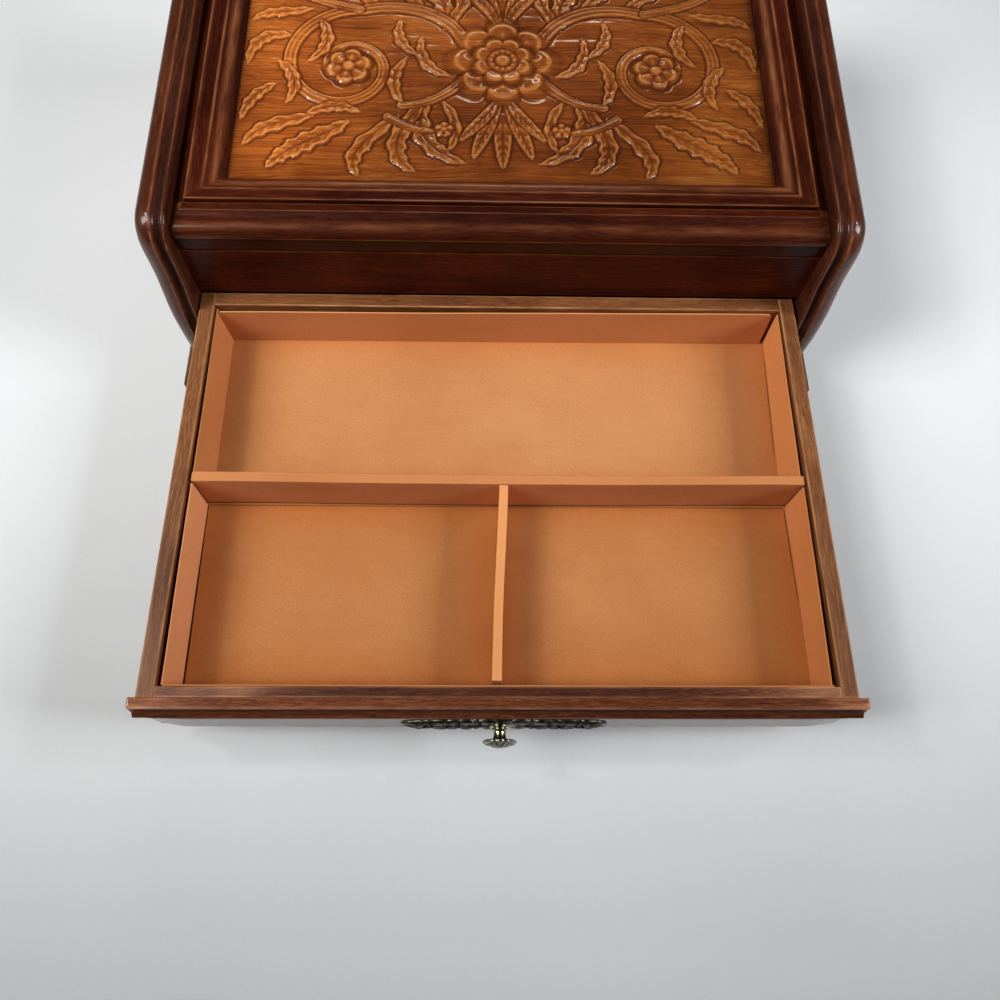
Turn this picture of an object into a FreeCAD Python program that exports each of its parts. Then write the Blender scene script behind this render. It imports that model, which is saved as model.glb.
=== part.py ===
import FreeCAD, Part
import os, math
from FreeCAD import Vector, Placement, Rotation

os.makedirs("parts", exist_ok=True)

# Valet jewellery box: a lidded upper compartment over one lipped drawer.
# Millimetres.  X to the right, Y to the back, Z up.  The origin is on the table,
# under the centre of the base.  The drawer is drawn pulled out; the lid is shut.

# ---------------------------------------------------------------- base
BASE_W = 282.4            # base board, left to right
BASE_D = 189.0            # base board, front to back
FELT_T = 1.0              # felt sheet glued under the base
BASE_TOP = 10.0           # top of the base board
# ---------------------------------------------------------------- carcase
CASE_W = 275.0            # over the two cheeks
CHEEK_T = 12.75           # cheek thickness
CASE_FRONT = -83.0        # foremost point of the cheeks
CASE_BACK = 92.5          # back face of cheeks and back panel
SLOPE = 3.66              # the lid and the cheeks' tops rise to the back, degrees
CHEEK_TOP0 = 95.8         # height of the cheeks' top edge at Y = 0
RAIL_Y0, RAIL_T = -72.9, 6.5      # fixed rail over the drawer
RAIL_Z0, RAIL_Z1 = 47.2, 73.0
BACK_T = 7.0
BACK_TOP = 83.7
FLOOR_T = 4.5             # carcase floor between the cheeks
RUN_W, RUN_T = 7.5, 1.3   # drawer runner strips
TRAY_Z0, TRAY_T = 49.5, 3.0       # board under the upper compartment
TRAY_LINING = 0.8
WALL_LINING = 1.0
# ---------------------------------------------------------------- lid
LID_W = 248.6
LID_Z0, LID_TOP = 0.8, 15.2       # lid's under and upper face above the hinge axis, along the lid
LID_BACK = -2.4                   # lid's back face, from the hinge axis
HINGE_Y, HINGE_Z = 94.7, 83.5     # hinge axis
HINGE_X = 75.0                    # hinge centres
HINGE_LEN = 25.0
KNUCKLE_R, PIN_R, PIN_CLEAR = 1.9, 0.9, 0.05
LEAF_T, LEAF_H = 0.9, 9.2
LID_EDGE_Z, LID_CHAMFER_Z = 12.2, 14.9      # outer and inner height of the bevel along the lid's ends
BEAD_SIDE, BEAD_FRONT = 13.7, 12.4          # moulding round the carved panel: at the sides; at front and back
OGEE_W = 7.2              # its sloping inner part, next to the panel
PANEL_Z0, PANEL_Z1 = 8.3, 11.2    # carved panel, above the hinge axis
STEP_Y = -155.7           # step between inner moulding and nosing
# ---------------------------------------------------------------- drawer
DR_X = -0.7               # the drawer stands a little to the left in its bay
DR_W = 247.0              # drawer box, outside
DR_RIM = 46.0             # top of the drawer box
DR_Z0 = 16.2              # underside of the drawer box
DR_FRONT = -238.9         # back face of the front board, drawer pulled out
DR_REAR = -72.5           # back of the drawer box, drawer pulled out
DR_SIDE_T = 6.0
DR_BOXFRONT_T = 3.8
DR_BACK_T = 6.0
DR_FLOOR = 24.0           # lined floor
DR_BOTTOM_T = 3.5
DR_LINING = 1.6
FRONT_W, FRONT_Z0, FRONT_Z1 = 252.0, 15.2, 46.3
FRONT_X = DR_X + 0.3      # centre of the front board
FRONT_LIP, FRONT_FIELD = 3.9, 6.1   # depth of the lip and of the raised field
DIV_Y0, DIV_Y1 = -158.3, -154.9     # long divider
DIV_TOP = 44.8
CROSS_T = 4.4
# ---------------------------------------------------------------- pull
PULL_W, PULL_H, PULL_T = 74.0, 16.0, 1.6
PLATE_X = DR_X + 1.5      # centre of the back plate
PULL_Z = 30.8
STEM_R, HEAD_R = 2.5, 6.0
KNOB_OUT = 8.6            # from the field to the end of the knob

hw = CASE_W / 2
inx = hw - CHEEK_T        # inner face of the cheeks
made = {}


def box(x0, x1, y0, y1, z0, z1):
    return Part.makeBox(x1 - x0, y1 - y0, z1 - z0, Vector(x0, y0, z0))


def prism_x(pts, x0, x1):
    """Polygon of (y, z) points, drawn out from x0 to x1."""
    w = Part.makePolygon([Vector(x0, y, z) for y, z in pts] + [Vector(x0, *pts[0])])
    return Part.Face(w).extrude(Vector(x1 - x0, 0, 0))


def prism_y(pts, y0, y1):
    """Polygon of (x, z) points, drawn out from y0 to y1."""
    p = [Vector(x, y0, z) for x, z in pts]
    return Part.Face(Part.makePolygon(p + [p[0]])).extrude(Vector(0, y1 - y0, 0))


def prism_z(pts, z0, z1):
    p = [Vector(x, y, z0) for x, y in pts]
    return Part.Face(Part.makePolygon(p + [p[0]])).extrude(Vector(0, 0, z1 - z0))


def cyl(r, h, p, d):
    return Part.makeCylinder(r, h, Vector(*p), Vector(*d))


def screw(p, d, head_r, r, length, grow=0.0):
    """Countersunk wood screw: head at p, driven along d."""
    d = Vector(*d)
    p = Vector(*p)
    hh = head_r - r
    head = Part.makeCone(head_r + grow, r + grow, hh, p, d)
    shank = Part.makeCylinder(r + grow, length - hh + grow, p + d * hh, d)
    return head.fuse(shank)


def save(name, shape):
    if shape.ShapeType != "Compound" or len(shape.Solids) == 1:
        s = shape.Solids[0] if len(shape.Solids) == 1 else shape
    else:
        s = shape
    assert s.isValid(), name
    assert all(k.Volume > 0 for k in s.Solids), name
    made[name] = s
    s.exportStep("parts/%s.step" % name)


def group(shapes):
    return Part.makeCompound([s.Solids[0] for s in shapes])


def one(shape):
    s = shape.removeSplitter()
    assert len(s.Solids) == 1, len(s.Solids)
    return s.Solids[0]


# ================================================================ fasteners first
# Screws up through the base into the cheeks, two dowels in each end of the rail
# and of the back panel, two screws in each hinge leaf.
base_screw_at = [(sx * (hw - CHEEK_T / 2), y) for sx in (-1, 1) for y in (-58.0, 4.0, 66.0)]
base_screws = [screw((x, y, FELT_T + 0.05), (0, 0, 1), 3.2, 1.7, 24.0) for x, y in base_screw_at]
base_holes = [screw((x, y, FELT_T), (0, 0, 1), 3.2, 1.7, 24.2, 0.06) for x, y in base_screw_at]

dowel_at = [(RAIL_Y0 + RAIL_T / 2, 54.0), (RAIL_Y0 + RAIL_T / 2, 66.5),
            (CASE_BACK - BACK_T / 2, 26.0), (CASE_BACK - BACK_T / 2, 68.0)]
DOWEL_R, DOWEL_IN, DOWEL_OUT = 1.5, 7.0, 9.0
dowels, dowel_holes = [], []
for sx in (-1, 1):
    for y, z in dowel_at:
        x0 = sx * (inx - DOWEL_OUT)
        dowels.append(cyl(DOWEL_R, DOWEL_IN + DOWEL_OUT, (x0, y, z), (sx, 0, 0)))
        dowel_holes.append(cyl(DOWEL_R + 0.06, DOWEL_IN + DOWEL_OUT + 0.4, (x0 - sx * 0.2, y, z), (sx, 0, 0)))

# ================================================================ base
base = box(-BASE_W / 2, BASE_W / 2, -BASE_D / 2, BASE_D / 2, FELT_T, BASE_TOP)
top_edges = [e for e in base.Edges if all(abs(v.Z - BASE_TOP) < 1e-6 for v in e.Vertexes)]
ups = [e for e in base.Edges if abs(e.Vertexes[0].Z - e.Vertexes[1].Z) > 1]
base = base.makeFillet(2.0, ups)
rim = [e for e in base.Edges if all(abs(v.Z - BASE_TOP) < 1e-6 for v in e.Vertexes)]
base = base.makeChamfer(1.6, rim)
for h in base_holes:
    base = base.cut(h)
save("base_board", one(base))
save("felt_base_pad", box(-138, 138, -92, 92, 0, FELT_T))

# ================================================================ cheeks
ts = math.tan(math.radians(SLOPE))


def cheek_top(y):
    return CHEEK_TOP0 + y * ts


# Side outline: foot, a shallow ogee up the front, a round nose, the sloping top.
front_pts = [(-81.6, BASE_TOP), (-82.5, 20.0), (-83.0, 33.0), (-82.6, 44.0), (-81.2, 53.5),
             (-79.9, 62.0), (-79.5, 70.0), (-79.3, 77.0)]
nose_pts = [(-78.6, 81.6), (-76.6, 86.0), (-73.0, 89.6), (-69.0, 91.2)]
top_a = (-66.0, cheek_top(-66.0))
top_b = (CASE_BACK, cheek_top(CASE_BACK))


def cheek(x0, x1):
    v = [Vector(x0, y, z) for y, z in front_pts + nose_pts + [top_a]]
    c = Part.BSplineCurve()
    c.interpolate(v, InitialTangent=Vector(0, -0.12, 1.0).normalize(),
                  FinalTangent=Vector(0, math.cos(math.radians(SLOPE)), math.sin(math.radians(SLOPE))))
    tb = Vector(x0, *top_b)
    bb = Vector(x0, CASE_BACK, BASE_TOP)
    w = Part.Wire([c.toShape(), Part.makeLine(v[-1], tb), Part.makeLine(tb, bb), Part.makeLine(bb, v[0])])
    return Part.Face(w).extrude(Vector(x1 - x0, 0, 0))


for name, sx in (("left_cheek", -1), ("right_cheek", 1)):
    x_out, x_in = sx * hw, sx * inx
    c = cheek(min(x_out, x_in), max(x_out, x_in))
    if c.Volume < 0:
        c = c.reversed()
    # round over the outer edge of the top and front
    outer = [e for e in c.Edges
             if all(abs(v.X - x_out) < 1e-6 for v in e.Vertexes)
             and not all(abs(v.Y - CASE_BACK) < 1e-6 for v in e.Vertexes)
             and not all(abs(v.Z - BASE_TOP) < 1e-6 for v in e.Vertexes)]
    inner = [e for e in c.Edges
             if all(abs(v.X - x_in) < 1e-6 for v in e.Vertexes)
             and not all(abs(v.Y - CASE_BACK) < 1e-6 for v in e.Vertexes)
             and not all(abs(v.Z - BASE_TOP) < 1e-6 for v in e.Vertexes)]
    c = c.makeFillet(4.0, outer)
    inner = [e for e in c.Edges
             if all(abs(v.X - x_in) < 1e-6 for v in e.Vertexes)
             and not all(abs(v.Y - CASE_BACK) < 1e-6 for v in e.Vertexes)
             and not all(abs(v.Z - BASE_TOP) < 1e-6 for v in e.Vertexes)]
    c = c.makeFillet(1.0, inner)
    for h in base_holes + dowel_holes:
        if h.BoundBox.XMin * sx > 0 or h.BoundBox.XMax * sx > 0:
            c = c.cut(h)
    save(name, one(c))

# ================================================================ carcase boards
rail = box(-inx, inx, RAIL_Y0, RAIL_Y0 + RAIL_T, RAIL_Z0, RAIL_Z1)
back = box(-inx, inx, CASE_BACK - BACK_T, CASE_BACK, BASE_TOP, BACK_TOP)
for h in dowel_holes:
    rail = rail.cut(h)
    back = back.cut(h)

# hinge screws in the back panel
leaf_y = CASE_BACK
case_screw_at = [(sx * HINGE_X + dx, leaf_y + LEAF_T, HINGE_Z - 5.6) for sx in (-1, 1) for dx in (-7.5, 7.5)]
case_screws = [screw((x, y - 0.03, z), (0, -1, 0), 1.8, 0.95, 5.6) for x, y, z in case_screw_at]
case_holes = [screw((x, y, z), (0, -1, 0), 1.8, 0.95, 5.7, 0.05) for x, y, z in case_screw_at]
for h in case_holes:
    back = back.cut(h)
save("front_rail", one(rail))
save("back_panel", one(back))
save("case_floor", box(-inx, inx, -81.4, CASE_BACK - BACK_T, BASE_TOP, BASE_TOP + FLOOR_T))
rz0 = BASE_TOP + FLOOR_T
save("left_runner", box(-inx, -inx + RUN_W, -81.0, 84.0, rz0, rz0 + RUN_T))
save("right_runner", box(inx - RUN_W, inx, -81.0, 84.0, rz0, rz0 + RUN_T))
ry1 = RAIL_Y0 + RAIL_T
by0 = CASE_BACK - BACK_T
save("tray_board", box(-inx, inx, ry1, by0, TRAY_Z0, TRAY_Z0 + TRAY_T))
tz = TRAY_Z0 + TRAY_T
save("tray_floor_lining", box(-inx, inx, ry1, by0, tz, tz + TRAY_LINING))
tz += TRAY_LINING


def lid_under(y):
    """Height of the lid's underside at Y."""
    a = math.radians(SLOPE)
    return HINGE_Z + (y - HINGE_Y) * math.tan(a) + LID_Z0 / math.cos(a)


wl = WALL_LINING
save("tray_front_lining", prism_x([(ry1, tz), (ry1 + wl, tz), (ry1 + wl, RAIL_Z1 - 0.6), (ry1, RAIL_Z1 - 0.6)], -inx, inx))
save("tray_back_lining", prism_x([(by0 - wl, tz), (by0, tz), (by0, BACK_TOP - 0.9), (by0 - wl, BACK_TOP - 0.9)], -inx, inx))
side = [(ry1 + wl, tz), (by0 - wl, tz), (by0 - wl, lid_under(by0 - wl) - 1.0), (ry1 + wl, lid_under(ry1 + wl) - 1.0)]
save("tray_left_lining", prism_x(side, -inx, -inx + wl))
save("tray_right_lining", prism_x(side, inx - wl, inx))
tdy0, tdy1 = 10.0, 13.6
save("tray_long_divider", box(-inx + wl, inx - wl, tdy0, tdy1, tz, 70.0))
save("tray_cross_divider", box(-1.8, 1.8, ry1 + wl, tdy0, tz, 70.0))
save("case_dowels", group(dowels))
save("base_screws", group(base_screws))
save("hinge_case_screws", group(case_screws))

# ================================================================ hinges
ky = HINGE_Y
seg = HINGE_LEN / 2          # half length
mid = 4.0                    # half length of the lid's knuckle
gap = 0.2
for name, sx in (("left", -1), ("right", 1)):
    cx = sx * HINGE_X
    # leaf on the back panel with the two outer knuckles
    leaf = box(cx - seg, cx + seg, leaf_y, leaf_y + LEAF_T, HINGE_Z - LEAF_H, HINGE_Z - KNUCKLE_R - 0.3)
    for a, b in ((cx - seg, cx - mid - gap), (cx + mid + gap, cx + seg)):
        leaf = leaf.fuse(cyl(KNUCKLE_R, b - a, (a, ky, HINGE_Z), (1, 0, 0)))
        leaf = leaf.fuse(box(a, b, leaf_y, leaf_y + LEAF_T, HINGE_Z - KNUCKLE_R - 0.6, HINGE_Z))
    leaf = leaf.cut(cyl(PIN_R + PIN_CLEAR, HINGE_LEN + 2, (cx - seg - 1, ky, HINGE_Z), (1, 0, 0)))
    for h in case_holes:
        leaf = leaf.cut(h)
    save(name + "_hinge_case_leaf", one(leaf))
    pin = cyl(PIN_R, HINGE_LEN + 0.4, (cx - seg - 0.2, ky, HINGE_Z), (1, 0, 0))
    pin = pin.fuse(cyl(1.5, 0.6, (cx - seg - 0.8, ky, HINGE_Z), (1, 0, 0)))
    pin = pin.fuse(cyl(1.5, 0.6, (cx + seg + 0.2, ky, HINGE_Z), (1, 0, 0)))
    save(name + "_hinge_pin", one(pin))

# ================================================================ lid
# Drawn level, with Y and Z counted from the hinge axis, then tilted to the slope.
lid_place = Placement(Vector(0, HINGE_Y, HINGE_Z), Rotation(Vector(1, 0, 0), SLOPE))


def lid_save(name, s):
    t = s.copy()
    t.Placement = lid_place.multiply(t.Placement)
    save(name, t)


lw = LID_W / 2
zt, zb = LID_TOP, LID_Z0
xi = lw - 4.4                       # inner edge of the stile's upper part
xr = xi - 10.9                      # inner edge of the rabbet's ledge
yb1 = LID_BACK                      # back face
yb0 = yb1 - 4.6                     # front of the back rail's upper part
yfr = STEP_Y
ledge_f = STEP_Y + 6.6
ledge_b = yb0 - 10.9

# nosing: the front rail's moulded section, full width, its ends bevelled like the stiles
front_sec = [(yfr, PANEL_Z0), (yfr, 12.9), (-156.3, 12.9), (-156.5, 13.8), (-159.9, 13.9), (-160.5, 13.3), (-162.3, 12.8),
             (-164.0, 12.9), (-165.4, 12.9), (-166.8, 12.3), (-167.9, 11.3), (-168.6, 10.0), (-168.9, 8.4),
             (-168.1, 7.8), (-168.4, 1.5), (-167.8, zb), (ledge_f, zb), (ledge_f, PANEL_Z0)]
outer_sec = [(-lw, zb - 1), (lw, zb - 1), (lw, LID_EDGE_Z), (xi, LID_CHAMFER_Z), (xi, 20), (-xi, 20), (-xi, LID_CHAMFER_Z), (-lw, LID_EDGE_Z)]
save_front = prism_x(front_sec, -lw, lw).common(prism_y(outer_sec, -175, -150))
lid_save("lid_front_rail", one(save_front))
back_sec = [(yb0, PANEL_Z0), (yb0, zt), (yb1 - 1.0, zt), (yb1, zt - 1.0), (yb1, zb), (ledge_b, zb), (ledge_b, PANEL_Z0)]
lid_back = prism_x(back_sec, -lw, lw).common(prism_y(outer_sec, -30, 0))
lid_screw_at = [(sx * HINGE_X + dx, yb1 + LEAF_T, 5.8) for sx in (-1, 1) for dx in (-7.5, 7.5)]
lid_screws = [screw((x, y - 0.03, z), (0, -1, 0), 1.8, 0.95, 7.0) for x, y, z in lid_screw_at]
lid_holes = [screw((x, y, z), (0, -1, 0), 1.8, 0.95, 7.1, 0.05) for x, y, z in lid_screw_at]
for h in lid_holes:
    lid_back = lid_back.cut(h)
lid_save("lid_back_rail", one(lid_back))
stile_sec = [(xi, PANEL_Z0), (xi, LID_CHAMFER_Z), (lw, LID_EDGE_Z), (lw, zb), (xr, zb), (xr, PANEL_Z0)]


def stile(sx):
    sec = [(sx * x, z) for x, z in stile_sec]
    s = prism_y(sec, yfr, yb0)
    if s.Volume < 0:
        s = s.reversed()
    # the ledges butt against those of the rails
    s = s.cut(box(-200, 200, yfr - 1, ledge_f, zb - 1, PANEL_Z0))
    s = s.cut(box(-200, 200, ledge_b, yb0 + 1, zb - 1, PANEL_Z0))
    return one(s)


lid_save("lid_left_stile", stile(-1))
lid_save("lid_right_stile", stile(1))

# moulding round the panel: an ogee up from the panel, an arris, and a nearly flat band; mitred at the corners
ogee = [(0.0, PANEL_Z1), (0.4, 11.9), (1.0, 12.6), (1.9, 13.4), (2.9, 13.95), (3.9, 14.2), (5.2, 14.3), (6.3, 14.45), (6.95, 14.75),
        (OGEE_W, zt)]


def bead_sec(width):
    return ogee + [(OGEE_W + 0.4, zt), (OGEE_W + 2.2, zt - 0.15), (width - 1.6, zt - 0.15), (width, zt), (width, PANEL_Z1)]


px = xi - BEAD_SIDE                 # half width of the panel's sight opening
py0, py1 = yfr + BEAD_FRONT, yb0 - BEAD_FRONT
for name, ang in (("front", 0), ("back", 2), ("left", 3), ("right", 1)):
    if name == "front":
        s = prism_x([(py0 - u, z) for u, z in bead_sec(BEAD_FRONT)], -xi, xi)
        m = prism_z([(-xi, yfr), (xi, yfr), (px, py0), (-px, py0)], 0, 30)
    elif name == "back":
        s = prism_x([(py1 + u, z) for u, z in bead_sec(BEAD_FRONT)], -xi, xi)
        m = prism_z([(-xi, yb0), (xi, yb0), (px, py1), (-px, py1)], 0, 30)
    else:
        sx = -1 if name == "left" else 1
        s = prism_y([(sx * (px + u), z) for u, z in bead_sec(BEAD_SIDE)], yfr, yb0)
        m = prism_z([(sx * xi, yfr), (sx * xi, yb0), (sx * px, py1), (sx * px, py0)], 0, 30)
    if s.Volume < 0:
        s = s.reversed()
    if m.Volume < 0:
        m = m.reversed()
    lid_save("lid_%s_bead" % name, one(s.common(m)))

lid_save("carved_panel", box(-xi, xi, yfr, yb0, PANEL_Z0, PANEL_Z1))
lid_save("lid_backing_board", box(-xr, xr, ledge_f, ledge_b, 6.1, PANEL_Z0))
lid_save("lid_lining", box(-xr, xr, ledge_f, ledge_b, 4.6, 6.1))
lid_save("hinge_lid_screws", group(lid_screws))
for name, sx in (("left", -1), ("right", 1)):
    cx = sx * HINGE_X
    leaf = box(cx - seg, cx + seg, yb1, yb1 + LEAF_T, KNUCKLE_R + 0.3, LEAF_H + 0.4)
    leaf = leaf.fuse(cyl(KNUCKLE_R, 2 * mid, (cx - mid, 0, 0), (1, 0, 0)))
    leaf = leaf.fuse(box(cx - mid, cx + mid, -KNUCKLE_R, -KNUCKLE_R + LEAF_T, 0, KNUCKLE_R + 1.0))
    leaf = leaf.cut(cyl(PIN_R + PIN_CLEAR, HINGE_LEN + 2, (cx - seg - 1, 0, 0), (1, 0, 0)))
    for h in lid_holes:
        leaf = leaf.cut(h)
    lid_save(name + "_hinge_lid_leaf", one(leaf))

# ================================================================ drawer
dx = DR_X
dw = DR_W / 2
ix = dw - DR_SIDE_T
yf = DR_FRONT
bf1 = yf + DR_BOXFRONT_T
bk0 = DR_REAR - DR_BACK_T

# front board: lip and cove run straight through; the raised field under them has ends rounded off in plan
zc0, zc1 = FRONT_Z0, FRONT_Z1
lip, fld = FRONT_LIP, FRONT_FIELD
fx = FRONT_X
cove = [(yf, zc0), (yf - lip, zc0), (yf - lip, zc0 + 1.2), (yf - lip + 0.9, zc0 + 2.0), (yf - lip + 0.7, zc0 + 3.6),
        (yf - lip - 0.6, zc0 + 5.8), (yf - fld, zc0 + 7.4), (yf - fld, zc1 - 7.4), (yf - lip - 0.6, zc1 - 5.8),
        (yf - lip + 0.7, zc1 - 3.6), (yf - lip + 0.9, zc1 - 2.0), (yf - lip, zc1 - 1.2), (yf - lip, zc1), (yf, zc1)]
a = prism_x(cove, fx - FRONT_W / 2, fx + FRONT_W / 2)
hf = FRONT_W / 2
plan = [(-hf, 0), (-hf, -2.6), (-hf + 1.5, -3.3), (-hf + 4.0, -4.2), (-hf + 7.5, -5.1), (-hf + 12.0, -5.8), (-hf + 17.0, -fld - 0.05)]
plan = plan + [(-x, y) for x, y in reversed(plan)]
b = prism_z([(fx + x, yf + y) for x, y in plan], zc0 - 1, zc1 - 7.4)
if a.Volume < 0:
    a = a.reversed()
if b.Volume < 0:
    b = b.reversed()
c = box(fx - hf - 1, fx + hf + 1, yf - fld - 1, yf, zc1 - 7.4, zc1 + 1)
front = one(a.common(b).fuse(a.common(c)))

# fasteners of the front and the pull
kz = PULL_Z
face = yf - fld
knob_screw = cyl(1.5, fld + DR_BOXFRONT_T - 1.6 + 6.0, (dx, bf1 - 1.6, kz), (0, -1, 0)).fuse(
    cyl(3.2, 1.5, (dx, bf1 - 0.1, kz), (0, -1, 0)))
knob_hole = cyl(1.56, 40.0, (dx, bf1 + 5, kz), (0, -1, 0))
knob_seat = cyl(3.3, 1.7, (dx, bf1, kz), (0, -1, 0))
fs_at = [(dx - 80.0, kz), (dx + 80.0, kz)]
front_screws = [screw((x, bf1 - 0.05, z), (0, -1, 0), 2.8, 1.4, 8.0) for x, z in fs_at]
front_holes = [screw((x, bf1, z), (0, -1, 0), 2.8, 1.4, 8.2, 0.06) for x, z in fs_at]
pin_at = [(PLATE_X - 29.5, kz), (PLATE_X + 29.5, kz)]
PIN_SHANK = 0.6
plate_face = face - PULL_T
pins = [cyl(PIN_SHANK, 4.6, (x, plate_face, z), (0, 1, 0)).fuse(
    Part.makeSphere(1.2, Vector(x, plate_face, z), Vector(0, -1, 0), 0, 90, 360)) for x, z in pin_at]
pin_holes = [cyl(PIN_SHANK + 0.05, 5.0 + PULL_T, (x, plate_face - 1, z), (0, 1, 0)) for x, z in pin_at]
for h in [knob_hole] + front_holes + pin_holes:
    front = front.cut(h)
save("drawer_front", one(front))
boxfront = box(dx - ix, dx + ix, yf, bf1, DR_Z0, DR_RIM)
for h in [knob_hole, knob_seat] + front_holes:
    boxfront = boxfront.cut(h)
save("drawer_box_front", one(boxfront))
save("drawer_left_side", box(dx - dw, dx - ix, yf, DR_REAR, DR_Z0, DR_RIM))
save("drawer_right_side", box(dx + ix, dx + dw, yf, DR_REAR, DR_Z0, DR_RIM))
save("drawer_back", box(dx - ix, dx + ix, bk0, DR_REAR, DR_Z0, DR_RIM))
fl = DR_FLOOR
save("drawer_bottom", box(dx - ix, dx + ix, bf1, bk0, fl - 1.2 - DR_BOTTOM_T, fl - 1.2))
save("drawer_floor_lining", box(dx - ix, dx + ix, bf1, bk0, fl - 1.2, fl))
ln = DR_LINING
lt = DR_RIM - 0.4
# the long divider stands between the drawer's sides, so each side has two lining cards
for name, sx in (("left", -1), ("right", 1)):
    xa, xb = sorted((dx + sx * ix, dx + sx * (ix - ln)))
    save("drawer_%s_rear_lining" % name, box(xa, xb, DIV_Y1, bk0, fl, lt))
    save("drawer_%s_front_lining" % name, box(xa, xb, bf1, DIV_Y0, fl, lt))
save("drawer_front_lining", box(dx - ix + ln, dx + ix - ln, bf1, bf1 + ln, fl, lt))
save("drawer_back_lining", box(dx - ix + ln, dx + ix - ln, bk0 - ln, bk0, fl, lt))
save("drawer_long_divider", box(dx - ix, dx + ix, DIV_Y0, DIV_Y1, fl, DIV_TOP))
# the short divider is glued in a little askew
h2 = CROSS_T / 2
cx0, cx1 = dx - 0.3, dx + 3.2
save("drawer_cross_divider", prism_z([(cx0 - h2, bf1 + ln), (cx0 + h2, bf1 + ln), (cx1 + h2, DIV_Y0), (cx1 - h2, DIV_Y0)], fl, DIV_TOP))

# pull: cast back plate, turned knob on a stem
n = 36
out = []
for i in range(n):
    t = 2 * math.pi * i / n
    r = 1 + 0.07 * math.cos(8 * t)
    ex = PULL_W / 2 * math.copysign(abs(math.cos(t)) ** 0.75, math.cos(t))
    ez = PULL_H / 2 * math.copysign(abs(math.sin(t)) ** 0.75, math.sin(t))
    out.append((PLATE_X + ex * r / 1.07, kz + ez * r / 1.07))
plate = prism_y(out, plate_face, face)
if plate.Volume < 0:
    plate = plate.reversed()
for h in [knob_hole] + pin_holes:
    plate = plate.cut(h)
save("pull_backplate", one(plate))
end = face - KNOB_OUT
prof = [(0, plate_face), (3.6, plate_face), (3.6, plate_face - 0.7), (STEM_R, plate_face - 1.3), (STEM_R - 0.4, plate_face - 3.0),
        (STEM_R, end + 2.6), (HEAD_R - 1.2, end + 2.5), (HEAD_R, end + 1.9), (HEAD_R - 0.6, end + 1.0), (3.0, end + 0.2), (0, end)]
w = Part.makePolygon([Vector(dx + r, y, kz) for r, y in prof] + [Vector(dx, plate_face, kz)])
knob = Part.Face(w).revolve(Vector(dx, 0, kz), Vector(0, 1, 0), 360)
if knob.Volume < 0:
    knob = knob.reversed()
knob = knob.cut(cyl(1.56, 5.0, (dx, plate_face + 0.5, kz), (0, -1, 0)))
save("pull_knob", one(knob))
ks_end = bf1 - 1.6 - (fld + DR_BOXFRONT_T - 1.6 + 6.0)
assert ks_end > plate_face - 4.5, (ks_end, plate_face)
save("knob_screw", one(knob_screw))
save("backplate_pins", group(pins))
save("drawer_front_screws", group(front_screws))

print("nodes", len(made))
bb = Part.makeCompound(list(made.values())).BoundBox
print("box %.2f %.2f %.2f  %.2f %.2f %.2f" % (bb.XMin, bb.YMin, bb.ZMin, bb.XMax, bb.YMax, bb.ZMax))
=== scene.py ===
import math

import bmesh
import bpy
import numpy as np
from mathutils import Matrix, Vector


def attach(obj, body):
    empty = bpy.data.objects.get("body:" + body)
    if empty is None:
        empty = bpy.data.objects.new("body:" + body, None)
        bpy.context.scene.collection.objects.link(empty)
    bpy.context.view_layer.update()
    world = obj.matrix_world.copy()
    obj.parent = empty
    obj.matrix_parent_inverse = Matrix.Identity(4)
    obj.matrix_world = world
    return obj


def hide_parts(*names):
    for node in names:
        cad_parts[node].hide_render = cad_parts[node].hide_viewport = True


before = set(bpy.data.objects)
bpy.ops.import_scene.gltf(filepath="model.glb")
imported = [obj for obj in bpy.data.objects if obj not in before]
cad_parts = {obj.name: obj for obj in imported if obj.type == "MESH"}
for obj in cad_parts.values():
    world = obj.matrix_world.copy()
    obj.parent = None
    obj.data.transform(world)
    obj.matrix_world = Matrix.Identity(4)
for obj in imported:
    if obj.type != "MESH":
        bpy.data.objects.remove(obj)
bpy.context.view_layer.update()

# ------------------------------------------------------------------ dimensions (mm, row frame)
HW, INX, CHEEK_T = 137.5, 124.75, 12.75
SLOPE = math.radians(3.66)
HINGE_Y, HINGE_Z = 94.7, 83.5
DX = -0.7                                  # the drawer stands a little to the left in its bay
XI, XR = 119.9, 109.0                      # lid: inner edge of the stiles, of their ledge
YF, YB = -155.7, -7.0                      # lid: front and back of the moulding, along the lid
PX, PY0, PY1 = 106.2, -143.3, -19.4        # the panel's sight opening, along the lid
GROUND = 10.5                              # panel's ground above the hinge axis


def ease(t):
    t = np.clip(t, 0.0, 1.0)
    return t * t * (3 - 2 * t)


def lid(p):
    """Lid coordinates (x, along the lid, above it, from the hinge axis) to the row frame."""
    p = np.asarray(p, float)
    c, s = math.cos(SLOPE), math.sin(SLOPE)
    return np.stack([p[..., 0], HINGE_Y + p[..., 1] * c - p[..., 2] * s, HINGE_Z + p[..., 1] * s + p[..., 2] * c], -1)


def wobble(t, seed, amp, scale):
    """Smooth wandering line: a few sines with seeded phases."""
    r = np.random.RandomState(seed)
    t = np.asarray(t, float)
    out = np.zeros_like(t)
    for k in range(1, 5):
        out += np.sin(t / scale * k * 1.7 + r.uniform(0, 6.28)) * r.uniform(0.5, 1.0) / k
    return out * amp / 1.6


# ------------------------------------------------------------------ sections
def unit(v):
    return v / max(np.linalg.norm(v), 1e-12)


def area2(p):
    return 0.5 * np.sum(p[:, 0] * np.roll(p[:, 1], -1) - np.roll(p[:, 0], -1) * p[:, 1])


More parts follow.
